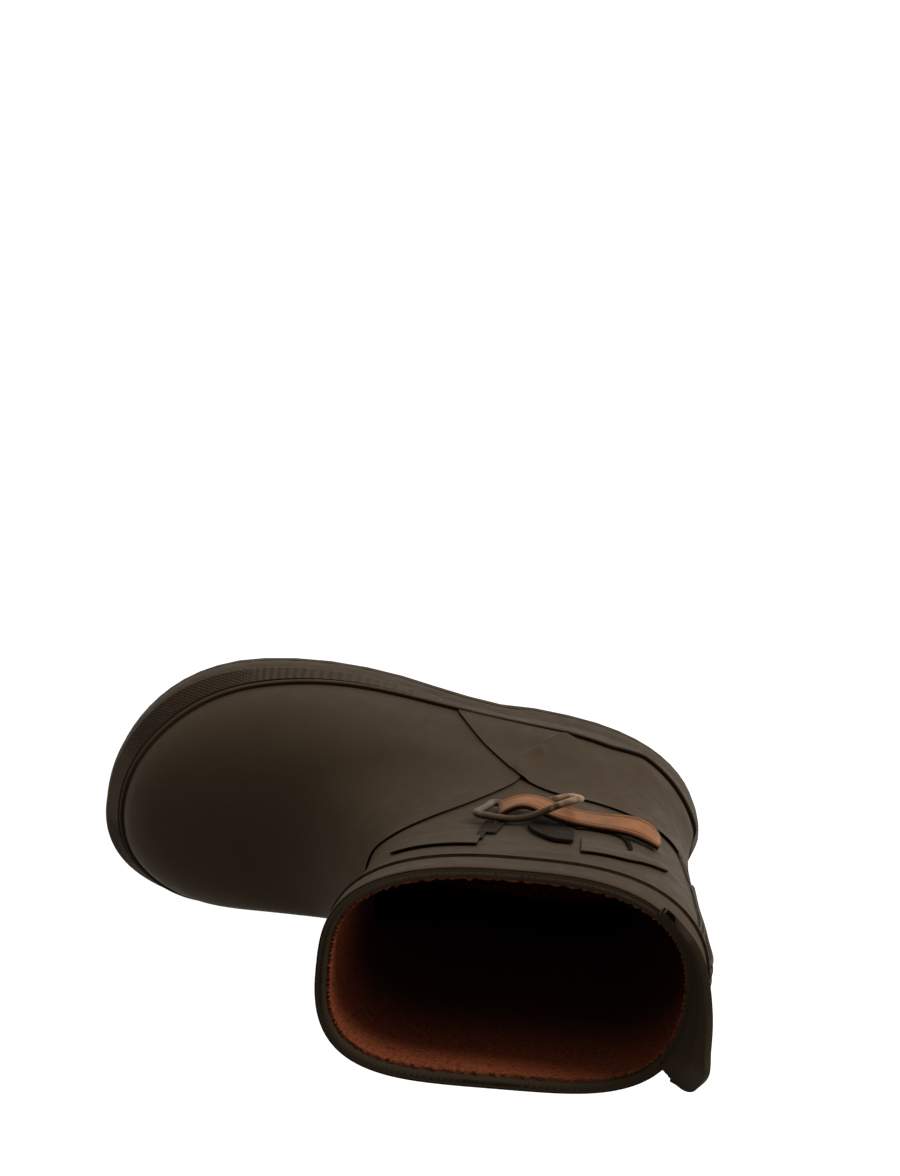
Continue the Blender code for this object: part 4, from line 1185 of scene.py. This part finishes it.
class BOOT_OT_buckle(bpy.types.Operator):
    """Makes the bowed buckle ring over the strap"""
    bl_idname = "boot.buckle"
    bl_label = "Buckle"

    def execute(self, context):
        corner = BUCKLE_WIRE * 1.2
        half_tall = STRAP_WIDTH / 2 + BUCKLE_CLEARANCE + BUCKLE_WIRE / 2
        middle = SHAFT_HEIGHT * STRAP_RISE
        bars_at = np.array([BUCKLE_BACK, BUCKLE_FRONT])
        bars = shell(bars_at, level_for(bars_at, middle), BUCKLE_STAND / 2)
        half_long = float(np.linalg.norm(bars[1] - bars[0])) / 2
        path = []
        for turn, centre in enumerate(((1, 1), (-1, 1), (-1, -1), (1, -1))):
            for step in np.linspace(0, math.pi / 2, 8):
                angle = step + turn * math.pi / 2
                path.append((centre[0] * (half_long - corner) + corner * math.cos(angle),
                             centre[1] * (half_tall - corner) + corner * math.sin(angle)))
            reach = centre[0] * (half_long - corner), centre[1] * (half_tall - corner)
            if turn in (0, 2):
                path += [(reach[0] * (1 - 2 * s), centre[1] * half_tall) for s in np.linspace(0.05, 0.95, 18)]
            else:
                path += [(centre[0] * half_long, reach[1] * (1 - 2 * s)) for s in np.linspace(0.08, 0.92, 10)]
        path = np.array(path)
        share = (path[:, 0] / half_long + 1) / 2
        stand = BUCKLE_STAND * part_curve(BUCKLE_BOW)(share)
        stand += (BUCKLE_REST - stand) * BUCKLE_TILT * (1 - path[:, 1] / half_tall) / 2
        place = BUCKLE_BACK + (BUCKLE_FRONT - BUCKLE_BACK + BUCKLE_SLANT * path[:, 1] / half_tall) * share
        spine = shell(place, level_for(place, middle + path[:, 1]), stand)
        count = len(spine)

        def wire(across, up):
            i = np.rint(across * count).astype(int) % count
            along = spine[(i + 1) % count] - spine[i - 1]
            along /= np.linalg.norm(along, axis=1, keepdims=True)
            flat = np.cross(along, np.array((0, -1, 0.01)))
            flat /= np.linalg.norm(flat, axis=1, keepdims=True)
            over = np.cross(flat, along)
            turn = -2 * math.pi * up[:, None]
            return spine[i] + (np.cos(turn) * flat * 1.15 + np.sin(turn) * over * 0.92) * BUCKLE_WIRE / 2

        def worn(across, up):
            i = np.rint(across * count).astype(int) % count
            return 0.45 * (1 - ramp_between(0.05, 0.40, share[i]))

        ring = sheet("buckle_ring", count, 16, wire, True, (0.09, 0.0066), None, {"worn": worn})
        bridge_ends(ring)
        dress(ring, [finishes()["lacquered zinc"]], "buckle_metal", "buckle")
        return {"FINISHED"}


class BOOT_OT_stage(bpy.types.Operator):
    """Sets up the floor, the soft light and the camera at the photograph's angle"""
    bl_idname = "boot.stage"
    bl_label = "Studio"

    def execute(self, context):
        scene = context.scene
        studio = scene.boot_studio
        made = bmesh.new()
        bmesh.ops.create_circle(made, cap_ends=True, segments=96, radius=3.0)
        floor = finish_mesh("studio_floor", made)
        paper, tree, surface, _ = new_finish("white studio paper")
        surface.inputs["Base Color"].default_value = (0.9, 0.9, 0.9, 1)
        surface.inputs["Roughness"].default_value = 0.9
        surface.inputs["Emission Color"].default_value = (1, 1, 1, 1)
        surface.inputs["Emission Strength"].default_value = studio.floor
        floor.data.materials.append(paper)

        # two wide low lights: the key between the outer side and the heel, and a lower one from the heel
        for name, power, size, spot in (("key", studio.key, (0.9, 0.3), (-0.72, -1.20, 0.46)),
                                        ("heel light", studio.heel, (0.6, 0.16), (-1.30, -0.50, 0.10))):
            lamp = bpy.data.lights.new(name, "AREA")
            lamp.shape = "RECTANGLE"
            lamp.size, lamp.size_y = size
            lamp.energy = power
            lamp.color = (1.0, 0.985, 0.96)
            light = bpy.data.objects.new(name, lamp)
            aim = Vector((0.0, 0.0, 0.10)) - Vector(spot)
            light.matrix_world = Matrix.Translation(spot) @ aim.to_track_quat("-Z", "Y").to_matrix().to_4x4()
            scene.collection.objects.link(light)

        world = bpy.data.worlds.new("pale surroundings")
        world.use_nodes = True
        sky = world.node_tree.nodes["Background"]
        sky.inputs["Color"].default_value = (1.0, 0.985, 0.96, 1)
        sky.inputs["Strength"].default_value = studio.fill
        scene.world = world

        # the camera stands steeply over the outer side, with the toe to the left
        data = bpy.data.cameras.new("camera")
        data.lens = 102.15
        data.sensor_width = 36
        data.clip_start = 0.01
        camera = bpy.data.objects.new("camera", data)
        right = Vector((-0.99452, -0.10453, 0.0))
        up = Vector((0.1032, -0.98184, -0.15917))
        back = right.cross(up)
        stand = Vector((0.09983, -0.22661, 1.005)) + Vector(ORIGIN)
        camera.matrix_world = Matrix((
            (right.x, up.x, back.x, stand.x),
            (right.y, up.y, back.y, stand.y),
            (right.z, up.z, back.z, stand.z),
            (0, 0, 0, 1)))
        scene.collection.objects.link(camera)
        scene.camera = camera
        scene.view_settings.view_transform = "Standard"
        return {"FINISHED"}


class BOOT_PT_panel(bpy.types.Panel):
    bl_idname = "BOOT_PT_panel"
    bl_label = "Rubber boot"
    bl_space_type = "VIEW_3D"
    bl_region_type = "UI"
    bl_category = "Boot"

    def draw(self, context):
        for group in (context.scene.boot_sizes, context.scene.boot_colours, context.scene.boot_studio):
            box = self.layout.box()
            for name in group.__annotations__:
                box.prop(group, name)
        for step in STEPS:
            self.layout.operator(step.bl_idname)


GROUPS = {"boot_sizes": BootSizes, "boot_colours": BootColours, "boot_studio": StudioSettings}
STEPS = (BOOT_OT_upper, BOOT_OT_overlays, BOOT_OT_sole, BOOT_OT_collar, BOOT_OT_raised, BOOT_OT_strap,
         BOOT_OT_buckle, BOOT_OT_stage)


def register():
    for name, group in GROUPS.items():
        bpy.utils.register_class(group)
        setattr(bpy.types.Scene, name, PointerProperty(type=group))
    for cls in (*STEPS, BOOT_PT_panel):
        bpy.utils.register_class(cls)


def unregister():
    for cls in (BOOT_PT_panel, *reversed(STEPS)):
        bpy.utils.unregister_class(cls)
    for name, group in reversed(GROUPS.items()):
        delattr(bpy.types.Scene, name)
        bpy.utils.unregister_class(group)


def main():
    register()
    for step in STEPS:
        family, name = step.bl_idname.split(".")
        getattr(getattr(bpy.ops, family), name)()


if __name__ == "__main__":
    main()
